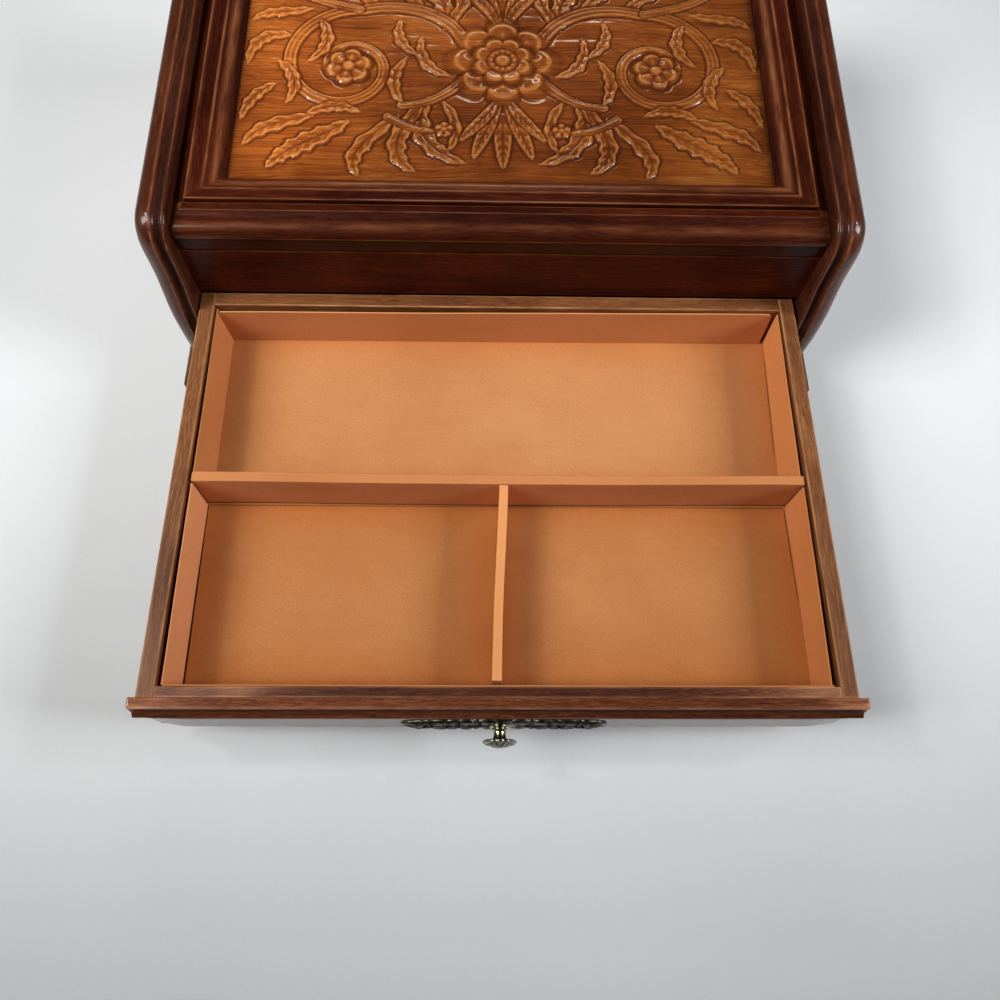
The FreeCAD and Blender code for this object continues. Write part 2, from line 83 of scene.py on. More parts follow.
def fillet(pts, r=0.3, n=4, sup=0.45):
    """Closed polygon with rounded corners. A point is (a, b) or (a, b, radius).
    Returns the points and a weight: above 0 on worn corners, which also carry painted highlight, below 0 in hollows,
    which are painted darker as shade."""
    xy = np.array([p[:2] for p in pts], float)
    rad = [p[2] if len(p) > 2 else r for p in pts]
    ccw = area2(xy) > 0
    out, wt = [], []
    m = len(xy)
    for i in range(m):
        p, a, b = xy[i], xy[i - 1], xy[(i + 1) % m]
        la, lb = np.linalg.norm(a - p), np.linalg.norm(b - p)
        da, db = (a - p) / la, (b - p) / lb
        cosv = float(np.clip(da @ db, -1, 1))
        ang = math.acos(cosv)
        if rad[i] <= 0 or ang > math.radians(172):
            out.append(p)
            wt.append(0.0)
            continue
        cross = (p - a)[0] * (b - p)[1] - (p - a)[1] * (b - p)[0]
        sign = 1.0 if (cross > 0) == ccw else -1.0
        t = min(rad[i] / math.tan(ang / 2), 0.42 * la, 0.42 * lb)
        strong = min(1.0, (math.pi - ang) / 1.0)
        if la * 0.5 > t + sup:
            out.append(p + da * (t + sup))
            wt.append(0.0)
        for k in range(n + 1):
            s = k / n
            q = (p + da * t) * (1 - s) ** 2 + p * 2 * s * (1 - s) + (p + db * t) * s ** 2
            out.append(q)
            wt.append(sign * strong * (1.0 if 0 < k < n else 0.45))
        if lb * 0.5 > t + sup:
            out.append(p + db * (t + sup))
            wt.append(0.0)
    return np.array(out), np.array(wt)


def inset(poly, d):
    """Moves a closed polygon's edges inwards by d."""
    if abs(d) < 1e-9:
        return poly.copy()
    s = 1.0 if area2(poly) > 0 else -1.0
    e = np.roll(poly, -1, 0) - poly
    n = np.stack([-e[:, 1], e[:, 0]], 1) * s
    n /= np.maximum(np.linalg.norm(n, axis=1), 1e-12)[:, None]
    m = n + np.roll(n, 1, 0)
    m /= np.maximum(np.sum(m * n, 1), 0.35)[:, None]
    return poly + m * d


def spline(pts, per=6, closed=False):
    """Catmull-Rom run through the points (centripetal enough for short mouldings)."""
    p = np.array(pts, float)
    q = np.vstack([2 * p[0] - p[1], p, 2 * p[-1] - p[-2]])
    out = []
    for i in range(1, len(q) - 2):
        a, b, c, d = q[i - 1], q[i], q[i + 1], q[i + 2]
        for k in range(per):
            t = k / per
            out.append(0.5 * (2 * b + (c - a) * t + (2 * a - 5 * b + 4 * c - d) * t ** 2 + (3 * b - a - 3 * c + d) * t ** 3))
    out.append(p[-1])
    return np.array(out)


def rrect(hx, hy, r, n=6, cx=0.0, cy=0.0):
    out = []
    for sx, sy, a0 in ((1, 1, 0), (-1, 1, 90), (-1, -1, 180), (1, -1, 270)):
        for k in range(n + 1):
            a = math.radians(a0 + 90 * k / n)
            out.append((cx + sx * (hx - r) + r * math.cos(a), cy + sy * (hy - r) + r * math.sin(a)))
    return np.array(out)


# ------------------------------------------------------------------ meshes
GRAIN = {"x": (0, 1, 2), "y": (1, 0, 2), "z": (2, 0, 1)}
made = {}


def make(name, verts, faces, body, slot, mat, replaces=(), wear_and_highlight=None, cav=None, tone=None, grain="x", seed=None,
         angle=38, local=None, weighted=True, recalc=True):
    """A piece from points in mm. grain is the axis that the wood's fibres follow."""
    verts = np.asarray(verts, float)
    me = bpy.data.meshes.new(name)
    me.from_pydata((verts * 0.001).tolist(), [], [tuple(int(i) for i in f) for f in faces])
    me.update()
    seed = len(made) * 7 + 3 if seed is None else seed
    base = verts if local is None else np.asarray(local, float)
    off = np.random.RandomState(seed).uniform(-400, 400, 3)
    g = base[:, list(GRAIN[grain])] + off
    at = me.attributes.new("grain", "FLOAT_VECTOR", "POINT")
    at.data.foreach_set("vector", g.astype(np.float32).ravel())
    for key, val, zero in (("wear_and_highlight", wear_and_highlight, 0.0), ("cav", cav, 0.0), ("tone", tone, 1.0)):
        v = np.full(len(verts), zero) if val is None else np.asarray(val, float)
        at = me.attributes.new(key, "FLOAT", "POINT")
        at.data.foreach_set("value", v.astype(np.float32))
    if recalc:
        bm = bmesh.new()
        bm.from_mesh(me)
        bmesh.ops.recalc_face_normals(bm, faces=bm.faces)
        if bm.calc_volume(signed=True) < 0:
            bmesh.ops.reverse_faces(bm, faces=bm.faces)
        bm.to_mesh(me)
        bm.free()
    me.polygons.foreach_set("use_smooth", [True] * len(me.polygons))
    me.set_sharp_from_angle(angle=math.radians(angle))
    me.materials.append(mat)
    ob = bpy.data.objects.new(name, me)
    bpy.context.scene.collection.objects.link(ob)
    if weighted:
        wn = ob.modifiers.new("even", "WEIGHTED_NORMAL")
        wn.keep_sharp = True
        wn.weight = 60
    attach(ob, body)
    if replaces:
        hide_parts(*replaces)
    made[name] = ob
    return ob


def loft(rings, caps=True):
    n = len(rings[0])
    faces = []
    for k in range(len(rings) - 1):
        a, b = k * n, (k + 1) * n
        for i in range(n):
            j = (i + 1) % n
            faces.append((a + i, a + j, b + j, b + i))
    if caps:
        faces.append(tuple(range(n))[::-1])
        e = (len(rings) - 1) * n
        faces.append(tuple(e + i for i in range(n)))
    return np.vstack(rings), faces


def place(sec, t, axis):
    """Section points (a, b) at station t. Along x: (y, z); along y: (x, z); along z: (x, y)."""
    o = np.zeros((len(sec), 3))
    i, j, k = {"x": (1, 2, 0), "y": (0, 2, 1), "z": (0, 1, 2)}[axis]
    o[:, i], o[:, j] = sec[:, 0], sec[:, 1]
    o[:, k] = t
    return o


def prism(name, sec, wt, axis, t0, t1, body, slot, mat, replaces=(), r=0.25, n=3, grain=None, to=None, sup=0.5, end_wear_and_highlight=1.0, **kw):
    """Section drawn along an axis, its two ends rounded by r."""
    rings, wear_and_highlight = [], []
    st = []
    # the rounded ends are made lighter: wear with painted highlight
    for k in range(n + 1):
        a = math.pi / 2 * k / n
        st.append((t0 + r * (1 - math.cos(a)), r * (1 - math.sin(a)), (0.45 if k in (0, n) else 1.0) * end_wear_and_highlight))
    st.append((t0 + r + sup, 0.0, 0.0))
    st.append((t1 - r - sup, 0.0, 0.0))
    for k in range(n, -1, -1):
        a = math.pi / 2 * k / n
        st.append((t1 - r * (1 - math.cos(a)), r * (1 - math.sin(a)), (0.45 if k in (0, n) else 1.0) * end_wear_and_highlight))
    for t, d, w in st:
        rings.append(place(inset(sec, d), t, axis))
        wear_and_highlight.append(np.where(wt < 0, wt, np.maximum(wt, w)))
    # a plain ring a little past each rounded end keeps the lighter line there (wear with painted highlight) narrow
    v, f = loft(rings)
    loc = v
    if to is not None:
        v = to(v)
    return make(name, v, f, body, slot, mat, replaces, wear_and_highlight=np.clip(np.concatenate(wear_and_highlight), 0, 1), cav=np.clip(-np.concatenate(wear_and_highlight), 0, 1),
                grain=grain or axis, local=loc, **kw)


def board(name, lo, hi, body, slot, mat, replaces=None, r=0.35, grain=None, to=None, **kw):
    """A planed board between two corners, its edges eased by r."""
    lo, hi = np.array(lo, float), np.array(hi, float)
    d = hi - lo
    axis = "xyz"[int(np.argmax(d))]
    i, j = {"x": (1, 2), "y": (0, 2), "z": (0, 1)}[axis]
    k = "xyz".index(axis)
    sec, wt = fillet([(lo[i], lo[j]), (hi[i], lo[j]), (hi[i], hi[j]), (lo[i], hi[j])], r=r, n=3)
    return prism(name, sec, wt, axis, lo[k], hi[k], body, slot, mat, [name] if replaces is None else replaces, r=r * 0.8, grain=grain, to=to, **kw)


def dress(node, mat, bevel=0.15):
    """A CAD node that stays: its edges are eased by modifiers, and it gets a full material."""
    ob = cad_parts[node]
    if len(ob.material_slots) == 0:
        ob.data.materials.append(mat)
    for s in ob.material_slots:
        s.link = "OBJECT"
        s.material = mat
    if bevel:
        w = ob.modifiers.new("weld", "WELD")
        w.merge_threshold = 2e-6
        b = ob.modifiers.new("ease", "BEVEL")
        b.width = bevel * 0.001
        b.segments = 2
        b.limit_method = "ANGLE"
        b.angle_limit = math.radians(40)
        b.use_clamp_overlap = True
        wn = ob.modifiers.new("even", "WEIGHTED_NORMAL")
        wn.keep_sharp = False
    return ob


# ------------------------------------------------------------------ materials
class Mat:
    """A node material under construction."""

    def __init__(self, name):
        self.m = bpy.data.materials.new(name)
        self.m.use_nodes = True
        self.t = self.m.node_tree
        self.t.nodes.clear()
        self.out = self.t.nodes.new("ShaderNodeOutputMaterial")
        self.b = self.t.nodes.new("ShaderNodeBsdfPrincipled")
        self.t.links.new(self.b.outputs[0], self.out.inputs[0])

    def put(self, sock, v):
        if isinstance(v, bpy.types.NodeSocket):
            self.t.links.new(v, sock)
        elif v is not None:
            if sock.type == "RGBA" and not hasattr(v, "__len__"):
                v = (v, v, v, 1)
            if sock.type == "RGBA" and len(v) == 3:
                v = (*v, 1)
            sock.default_value = v

    def math(self, op, a, b=None, c=None, clamp=False):
        n = self.t.nodes.new("ShaderNodeMath")
        n.operation = op
        n.use_clamp = clamp
        for s, v in zip(n.inputs, (a, b, c)):
            self.put(s, v)
        return n.outputs[0]

    def vmath(self, op, a, b=None):
        n = self.t.nodes.new("ShaderNodeVectorMath")
        n.operation = op
        self.put(n.inputs[0], a)
        if op == "SCALE":
            self.put(n.inputs[3], b)
        elif b is not None:
            self.put(n.inputs[1], b)
        return n.outputs[0]

    def attr(self, name, kind="Fac"):
        n = self.t.nodes.new("ShaderNodeAttribute")
        n.attribute_name = name
        return n.outputs[kind]

    def coords(self, axis):
        """The wood's own coordinates in mm, fibres along the first one."""
        if axis == "grain":
            return self.attr("grain", "Vector")
        tc = self.t.nodes.new("ShaderNodeTexCoord")
        v = self.vmath("SCALE", tc.outputs["Object"], 1000.0)
        if axis == "x":
            return v
        s = self.t.nodes.new("ShaderNodeSeparateXYZ")
        c = self.t.nodes.new("ShaderNodeCombineXYZ")
        self.put(s.inputs[0], v)
        for i, j in enumerate(GRAIN[axis]):
            self.t.links.new(s.outputs[j], c.inputs[i])
        return c.outputs[0]

    def scaled(self, v, s):
        return self.vmath("MULTIPLY", v, s)

    def noise(self, v, scale=1.0, detail=2.0, rough=0.5, dist=0.0, out="Fac"):
        n = self.t.nodes.new("ShaderNodeTexNoise")
        self.put(n.inputs["Vector"], v)
        n.inputs["Scale"].default_value = scale
        n.inputs["Detail"].default_value = detail
        n.inputs["Roughness"].default_value = rough
        n.inputs["Distortion"].default_value = dist
        return n.outputs[out]

    def voronoi(self, v, scale=1.0, feature="F1", out="Distance"):
        n = self.t.nodes.new("ShaderNodeTexVoronoi")
        n.feature = feature
        self.put(n.inputs["Vector"], v)
        n.inputs["Scale"].default_value = scale
        return n.outputs[out]

    def remap(self, v, a, b, c=0.0, d=1.0, smooth=False):
        n = self.t.nodes.new("ShaderNodeMapRange")
        n.clamp = True
        n.interpolation_type = "SMOOTHSTEP" if smooth else "LINEAR"
        self.put(n.inputs[0], v)
        for i, x in enumerate((a, b, c, d)):
            self.put(n.inputs[i + 1], x)
        return n.outputs[0]

    def ramp(self, fac, stops):
        n = self.t.nodes.new("ShaderNodeValToRGB")
        e = n.color_ramp.elements
        while len(e) < len(stops):
            e.new(0.5)
        for i, (p, c) in enumerate(stops):
            e[i].position = p
            e[i].color = (*c, 1)
        self.put(n.inputs[0], fac)
        return n.outputs[0]

    def mix(self, fac, a, b, mode="MIX"):
        n = self.t.nodes.new("ShaderNodeMix")
        n.data_type = "RGBA"
        n.blend_type = mode
        n.clamp_factor = True
        self.put(n.inputs[0], fac)
        self.put(n.inputs[6], a)
        self.put(n.inputs[7], b)
        return n.outputs[2]

    def bump(self, height, dist, strength=1.0, normal=None):
        n = self.t.nodes.new("ShaderNodeBump")
        n.inputs["Strength"].default_value = strength
        n.inputs["Distance"].default_value = dist
        self.put(n.inputs["Height"], height)
        if normal is not None:
            self.put(n.inputs["Normal"], normal)
        return n.outputs[0]

    def set(self, **kw):
        for k, v in kw.items():
            self.put(self.b.inputs[k.replace("_", " ")], v)
        return self.m


def wood(name, stops, worn_and_highlight, axis="grain", rough=(0.36, 0.52), coat=0.65, coat_rough=(0.07, 0.15), pore=0.35, fibre=0.006, wave=0.02,
         ridge=None, spec=0.16, wear_and_highlight_strength=1.0, stretch=1.0, contrast=1.0, dots=0.0, mixw=(0.34, 0.20, 0.24, 0.32)):
    """Lacquered wood: fibre streaks, broad bands, clouds of stain, open pores, lighter edges (rubbed wear with painted
    highlight) and darker hollows (painted shade).
    """
    m = Mat(name)
    g = m.coords(axis)
    warp = m.vmath("SUBTRACT", m.noise(g, 0.011, 2, out="Color"), (0.5, 0.5, 0.5))
    g2 = m.vmath("ADD", g, m.vmath("MULTIPLY", warp, (0.0, 16.0, 16.0)))
    streak = m.noise(m.scaled(g2, (0.050 * stretch, 1.7, 1.7)), 1.0, 5, 0.62)
    fine = m.noise(m.scaled(g2, (0.16 * stretch, 5.0, 5.0)), 1.0, 3, 0.6)
    bands = m.noise(m.scaled(g2, (0.007, 0.15, 0.15)), 1.0, 4, 0.55, 0.6)
    cloud = m.noise(g, 0.020, 3, 0.5)
    pores = m.remap(m.noise(m.scaled(g, (0.20, 4.2, 4.2)), 1.0, 2, 0.5), 0.60, 0.70)
    f = m.math("MULTIPLY", streak, mixw[0])
    f = m.math("ADD", f, m.math("MULTIPLY", bands, mixw[1]))
    f = m.math("ADD", f, m.math("MULTIPLY", cloud, mixw[2]))
    f = m.math("ADD", f, m.math("MULTIPLY", fine, mixw[3]))
    mean = 0.5 * sum(mixw)
    f = m.remap(f, mean - 0.135 / contrast, mean + 0.145 / contrast)
    col = m.ramp(f, stops)
    col = m.mix(m.math("MULTIPLY", pores, pore), col, tuple(0.30 * c for c in stops[0][1]))
    if dots:
        # short open pores of unpolished wood
        d = m.voronoi(m.scaled(g, (0.55, 2.3, 2.3)), 1.0)
        sel = m.remap(m.noise(m.scaled(g, (0.10, 0.5, 0.5)), 1.0, 2), 0.40, 0.62)
        d = m.math("MULTIPLY", m.remap(d, 0.16, 0.30, 1.0, 0.0), sel)
        col = m.mix(m.math("MULTIPLY", d, dots), col, tuple(0.28 * c for c in stops[0][1]))
    # wear and painted highlight: rubbed arrises, and highlights painted along edges and bands, in a lighter colour
    wear_and_highlight = m.attr("wear_and_highlight")
    patch = m.remap(m.noise(m.scaled(g, (0.05, 0.4, 0.4)), 1.0, 4, 0.65), 0.36, 0.66, 0.15, 1.0)
    col = m.mix(m.math("MULTIPLY", m.math("MULTIPLY", wear_and_highlight, patch), wear_and_highlight_strength), col, worn_and_highlight)
    # painted shade: hollows and recesses are darker; on the carved panel the ridges are painted lighter, as painted
    # highlight
    cav = m.attr("cav")
    if ridge is None:
        col = m.mix(m.remap(cav, 0.0, 1.0, 0.0, 0.72), col, tuple(0.35 * c for c in stops[0][1]))
    else:
        col = m.mix(m.remap(cav, 0.0, 1.0, 0.0, 0.78), col, tuple(0.5 * c for c in stops[0][1]))
        col = m.mix(m.remap(cav, -0.35, -1.0, 0.0, 0.42), col, ridge)
    tone = m.attr("tone")
    if axis == "grain":
        col = m.vmath("SCALE", col, tone)
    r = m.remap(m.math("ADD", m.math("MULTIPLY", streak, 0.6), m.math("MULTIPLY", fine, 0.4)), 0.3, 0.7, rough[0], rough[1])
    r = m.math("ADD", r, m.math("MULTIPLY", m.remap(cav, 0.0, 0.6, 0.0, 1.0), 0.4), clamp=True)
    h = m.math("SUBTRACT", m.math("ADD", m.math("MULTIPLY", streak, 0.6), m.math("MULTIPLY", fine, 0.5)), m.math("MULTIPLY", pores, 0.7))
    low = m.noise(m.scaled(g, (0.035, 0.16, 0.16)), 1.0, 2)
    n1 = m.bump(low, wave * 0.001, 1.0)
    n2 = m.bump(h, fibre * 0.001, 1.0, n1)
    n3 = m.bump(h, fibre * 0.0002, 1.0, n1)
    cr = m.remap(m.math("ADD", m.math("MULTIPLY", streak, 0.5), m.math("MULTIPLY", cloud, 0.5)), 0.35, 0.65, coat_rough[0], coat_rough[1])
    # less lacquer shows in the hollows, where dust and wax gather
    cw = m.math("MULTIPLY", m.remap(cav, 0.0, 0.5, 1.0, 0.0), coat)
    m.set(Base_Color=col, Roughness=r, Normal=n2, Coat_Roughness=cr, Coat_Normal=n3, Coat_Weight=cw)
    m.b.inputs["Specular IOR Level"].default_value = spec
    return m.m


def suede(name, dark, mid, light, axis="x", nap=1.0):
    """Suede paper on card: short mottled nap, faint rubbed clouds, here and there a fibre."""
    m = Mat(name)
    g = m.coords("x")
    fine = m.noise(g, 2.1, 3, 0.7)
    grit = m.noise(g, 5.0, 2, 0.6)
    cloud = m.noise(g, 0.020, 3, 0.55)
    rub = m.noise(m.scaled(g, (0.06, 0.45, 0.45)), 1.0, 3, 0.6)
    th = m.remap(m.noise(m.scaled(g, (0.5, 4.0, 4.0)), 1.0, 2, 0.5), 0.64, 0.74)
    f = m.math("ADD", m.math("MULTIPLY", fine, 0.40), m.math("MULTIPLY", grit, 0.34))
    f = m.math("ADD", f, m.math("MULTIPLY", cloud, 0.26))
    f = m.math("ADD", f, m.math("MULTIPLY", rub, 0.07))
    f = m.remap(f, 0.36, 0.71)
    col = m.ramp(f, [(0.0, dark), (0.5, mid), (1.0, light)])
    col = m.mix(m.math("MULTIPLY", th, 0.14), col, light)
    # painted shade: darker and redder along the walls, where the walls' shadows fall
    col = m.mix(m.attr("painted_shade"), col, m.vmath("MULTIPLY", col, (0.80, 0.62, 0.42)))
    spot = m.remap(m.voronoi(g, 0.021), 0.006, 0.011, 1.0, 0.0)
    col = m.mix(m.math("MULTIPLY", spot, 0.6), col, tuple(0.25 * c for c in dark))
    col = m.mix(m.remap(m.attr("wear_and_highlight"), 0.0, 1.0, 0.0, 0.6), col, tuple(min(1.0, 1.18 * c + 0.03) for c in light))
    col = m.mix(m.remap(m.attr("cav"), 0.0, 1.0, 0.0, 0.92), col, tuple(0.16 * c for c in dark))
    h = m.math("ADD", m.math("MULTIPLY", fine, 0.6), m.math("MULTIPLY", grit, 0.4))
    n1 = m.bump(m.noise(g, 0.045, 2), 0.00025, 1.0)
    n2 = m.bump(h, 0.00005 * nap, 1.0, n1)
    m.set(Base_Color=col, Roughness=0.92, Normal=n2)
    m.b.inputs["Specular IOR Level"].default_value = 0.15
    m.b.inputs["Sheen Weight"].default_value = 0.10
    m.b.inputs["Sheen Roughness"].default_value = 0.45
    m.b.inputs["Sheen Tint"].default_value = (1.0, 0.70, 0.45, 1)
    return m.m


def metal(name, bright, dark, patina, rough=(0.22, 0.48), ageing=0.6, axis="x"):
    """Cast or turned metal: bright where it is rubbed and where highlights are painted, dark in its hollows."""
    m = Mat(name)
    g = m.coords("x")
    n0 = m.noise(g, 0.55, 4, 0.6)
    n1 = m.noise(g, 2.6, 3, 0.6)
    age = m.remap(m.math("ADD", m.math("MULTIPLY", n0, 0.6), m.math("MULTIPLY", n1, 0.4)), 0.40, 0.62)
    cav = m.remap(m.attr("cav"), -0.2, 0.8)
    k = m.math("MAXIMUM", m.math("MULTIPLY", age, ageing), cav, clamp=True)
    rub = m.remap(m.attr("wear_and_highlight"), 0.1, 0.9)
    k = m.math("MULTIPLY", k, m.math("SUBTRACT", 1.0, m.math("MULTIPLY", rub, 0.85)), clamp=True)
    col = m.mix(k, bright, dark)
    col = m.mix(m.math("MULTIPLY", m.remap(m.noise(g, 1.1, 3), 0.56, 0.72), 0.35), col, patina)
    r = m.remap(m.math("ADD", m.math("MULTIPLY", n1, 0.4), m.math("MULTIPLY", k, 0.6)), 0.1, 0.9, rough[0], rough[1])
    nb = m.bump(m.math("ADD", m.math("MULTIPLY", n1, 0.5), m.math("MULTIPLY", n0, 0.5)), 0.00003, 1.0)
    m.set(Base_Color=col, Roughness=r, Normal=nb)
    m.b.inputs["Metallic"].default_value = 1.0
    return m.m


MAHOG = [(0.0, (0.0085, 0.0009, 0.0003)), (0.34, (0.024, 0.0031, 0.0010)), (0.68, (0.050, 0.0080, 0.0024)), (1.0, (0.105, 0.0205, 0.0062))]
# one lighter colour for worn and highlit edges: rubbed wear with painted highlight
WORN_AND_HIGHLIGHT = (0.27, 0.082, 0.031)
M_CASE = wood("mahogany_case", [(p, (1.45 * k[0], 2.3 * k[1], 3.3 * k[2])) for p, k in MAHOG], WORN_AND_HIGHLIGHT, coat=0.38, spec=0.10)
M_LID = wood("mahogany_lid", MAHOG, (0.31, 0.102, 0.038), coat=0.34, spec=0.08)
M_RAIL = wood("mahogany_rail", [(p, (1.45 * k[0], 1.25 * k[1], 1.1 * k[2])) for p, k in MAHOG], (0.20, 0.055, 0.019), rough=(0.40, 0.52), coat=0.10, coat_rough=(0.14, 0.24), spec=0.05)
M_PANEL = wood("carved_panel_wood", [(0.0, (0.066, 0.0125, 0.0018)), (0.35, (0.150, 0.0330, 0.0048)), (0.7, (0.265, 0.0700, 0.0110)), (1.0, (0.450, 0.150, 0.030))],
               (0.50, 0.205, 0.062), ridge=(0.62, 0.255, 0.070), rough=(0.38, 0.46), coat=0.80, coat_rough=(0.06, 0.075), spec=0.08, fibre=0.006, wave=0.006, pore=0.4,
               stretch=0.42, contrast=1.1, mixw=(0.34, 0.20, 0.34, 0.20))
M_FRONT = wood("mahogany_front", [(0.0, (0.037, 0.0064, 0.0017)), (0.35, (0.082, 0.0180, 0.0054)), (0.7, (0.130, 0.0345, 0.0112)), (1.0, (0.205, 0.068, 0.024))],
               (0.33, 0.150, 0.080), rough=(0.32, 0.46), coat=0.62, coat_rough=(0.05, 0.10), contrast=1.25, dots=0.35, stretch=1.5, mixw=(0.34, 0.12, 0.18, 0.46))
M_EDGE = wood("drawer_front_edge_wood", [(0.0, (0.032, 0.0058, 0.0018)), (0.35, (0.068, 0.0155, 0.0055)), (0.7, (0.105, 0.0275, 0.0105)), (1.0, (0.165, 0.053, 0.022))],
              (0.36, 0.175, 0.090), rough=(0.36, 0.50), coat=0.15, coat_rough=(0.2, 0.3), spec=0.30, dots=0.6, contrast=1.25, stretch=1.5, mixw=(0.34, 0.12, 0.18, 0.46))
RAW = [(0.0, (0.064, 0.0190, 0.0060)), (0.35, (0.138, 0.0455, 0.0142)), (0.7, (0.222, 0.0810, 0.0268)), (1.0, (0.335, 0.145, 0.055))]
M_BOX = wood("drawer_side_wood", RAW, (0.50, 0.235, 0.098), rough=(0.34, 0.50), coat=0.10, coat_rough=(0.25, 0.35), spec=0.30, pore=0.45, fibre=0.012, wave=0.01, dots=0.55, contrast=1.15)
M_PALE = wood("dowel_wood_x", [(0.0, (0.36, 0.22, 0.11)), (0.4, (0.48, 0.31, 0.16)), (0.7, (0.56, 0.38, 0.21)), (1.0, (0.64, 0.46, 0.27))],
              (0.7, 0.5, 0.3), axis="x", rough=(0.5, 0.65), coat=0.0, pore=0.3)
M_FLOOR = suede("suede_floor", (0.40, 0.148, 0.051), (0.535, 0.232, 0.087), (0.650, 0.325, 0.138))
M_WALL = suede("suede_walls", (0.40, 0.128, 0.038), (0.510, 0.185, 0.060), (0.610, 0.252, 0.090))
# lighter copies of the wall suede, used for the left front lining (also rosier), the right linings and the cross
# divider: painted light for the light that falls on them
M_WALL_PAINTED_LIT_L = suede("suede_walls_rosy_painted_lit", (0.56, 0.200, 0.078), (0.70, 0.290, 0.124), (0.80, 0.380, 0.175))
M_WALL_PAINTED_LIT_R = suede("suede_walls_pale_painted_lit", (0.50, 0.160, 0.046), (0.63, 0.232, 0.072), (0.74, 0.315, 0.108))
M_TRAY = suede("suede_tray", (0.44, 0.15, 0.062), (0.56, 0.22, 0.095), (0.66, 0.29, 0.135))
M_BRASS = metal("antique_brass_cast", (0.40, 0.37, 0.30), (0.008, 0.007, 0.0055), (0.026, 0.0225, 0.017), ageing=0.97)
M_PLATE = metal("antique_brass_plate", (0.23, 0.205, 0.155), (0.005, 0.0044, 0.0034), (0.016, 0.0135, 0.010), rough=(0.20, 0.42), ageing=0.97)
M_STEM = metal("bright_brass_stem", (0.41, 0.385, 0.24), (0.035, 0.029, 0.012), (0.13, 0.115, 0.055), rough=(0.16, 0.30), ageing=0.85)
M_HINGE = metal("hinge_brass", (0.62, 0.47, 0.20), (0.20, 0.14, 0.055), (0.30, 0.22, 0.10), rough=(0.22, 0.42), ageing=0.6)
M_STEEL = metal("screw_metal", (0.62, 0.60, 0.56), (0.18, 0.17, 0.16), (0.35, 0.33, 0.29), rough=(0.22, 0.42), ageing=0.5)


def felt_mat():
    m = Mat("base_felt_brown")
    g = m.coords("x")
    a = m.noise(g, 1.6, 4, 0.7)
    b = m.noise(m.scaled(g, (0.5, 2.4, 1.0)), 1.0, 3, 0.6)
    c = m.noise(g, 0.03, 2)
    f = m.remap(m.math("ADD", m.math("MULTIPLY", a, 0.5), m.math("ADD", m.math("MULTIPLY", b, 0.3), m.math("MULTIPLY", c, 0.3))), 0.38, 0.72)
    col = m.ramp(f, [(0.0, (0.020, 0.010, 0.008)), (0.6, (0.048, 0.024, 0.018)), (1.0, (0.085, 0.046, 0.034))])
    m.set(Base_Color=col, Roughness=0.97, Normal=m.bump(a, 0.00012, 1.0))
    m.b.inputs["Sheen Weight"].default_value = 0.3
    m.b.inputs["Specular IOR Level"].default_value = 0.15
    return m.m


def hardboard_mat():
    m = Mat("lid_hardboard")
    g = m.coords("x")
    a = m.noise(g, 1.2, 5, 0.7)
    b = m.noise(g, 0.12, 3, 0.6)
    f = m.remap(m.math("ADD", m.math("MULTIPLY", a, 0.6), m.math("MULTIPLY", b, 0.4)), 0.35, 0.68)
    col = m.ramp(f, [(0.0, (0.12, 0.065, 0.032)), (1.0, (0.27, 0.165, 0.090))])
    m.set(Base_Color=col, Roughness=0.75, Normal=m.bump(a, 0.00005, 1.0))
    return m.m


M_FELT, M_HARD = felt_mat(), hardboard_mat()

# ================================================================== case
# ---- cheeks: a moulded edge runs up the front, round the nose and along the top
TS = math.tan(SLOPE)
front_pts = [(-81.6, 10.0), (-82.5, 20.0), (-83.0, 33.0), (-82.6, 44.0), (-81.2, 53.5), (-79.9, 62.0), (-79.5, 70.0), (-79.3, 77.0)]
nose_pts = [(-78.6, 81.6), (-76.6, 86.0), (-73.0, 89.6), (-69.0, 91.2), (-66.0, 95.8 - 66.0 * TS)]


def cubic(pts, m0, m1, n):
    """Clamped cubic spline by chord length, n points."""
    p = np.array(pts, float)
    s = np.concatenate([[0], np.cumsum(np.linalg.norm(np.diff(p, axis=0), axis=1))])
    h = np.diff(s)
    k = len(p)
    A, R = np.zeros((k, k)), np.zeros((k, 2))
    A[0, 0] = A[-1, -1] = 1
    R[0], R[-1] = m0, m1
    for i in range(1, k - 1):
        A[i, i - 1], A[i, i], A[i, i + 1] = h[i], 2 * (h[i - 1] + h[i]), h[i - 1]
        R[i] = 3 * (h[i] * (p[i] - p[i - 1]) / h[i - 1] + h[i - 1] * (p[i + 1] - p[i]) / h[i])
    d = np.linalg.solve(A, R)
    out = []
    for t in np.linspace(0, s[-1], n):
        i = min(max(int(np.searchsorted(s, t, side="right")) - 1, 0), k - 2)
        u = (t - s[i]) / h[i]
        out.append((1 + 2 * u) * (1 - u) ** 2 * p[i] + u * (1 - u) ** 2 * h[i] * d[i] + u * u * (3 - 2 * u) * p[i + 1] + u * u * (u - 1) * h[i] * d[i + 1])
    return np.array(out)


def unit2(a, b):
    return np.array([a, b]) / math.hypot(a, b)


outline = cubic(front_pts + nose_pts, unit2(-0.12, 1.0), unit2(math.cos(SLOPE), math.sin(SLOPE)), 96)
top_line = np.array([(-66.0 + (92.5 + 66.0) * k / 26, 95.8 + (-66.0 + (92.5 + 66.0) * k / 26) * TS) for k in range(1, 27)])
outline = np.vstack([outline, top_line])
tang = np.gradient(outline, axis=0)
tang /= np.linalg.norm(tang, axis=1)[:, None]
inward = np.stack([tang[:, 1], -tang[:, 0]], 1)

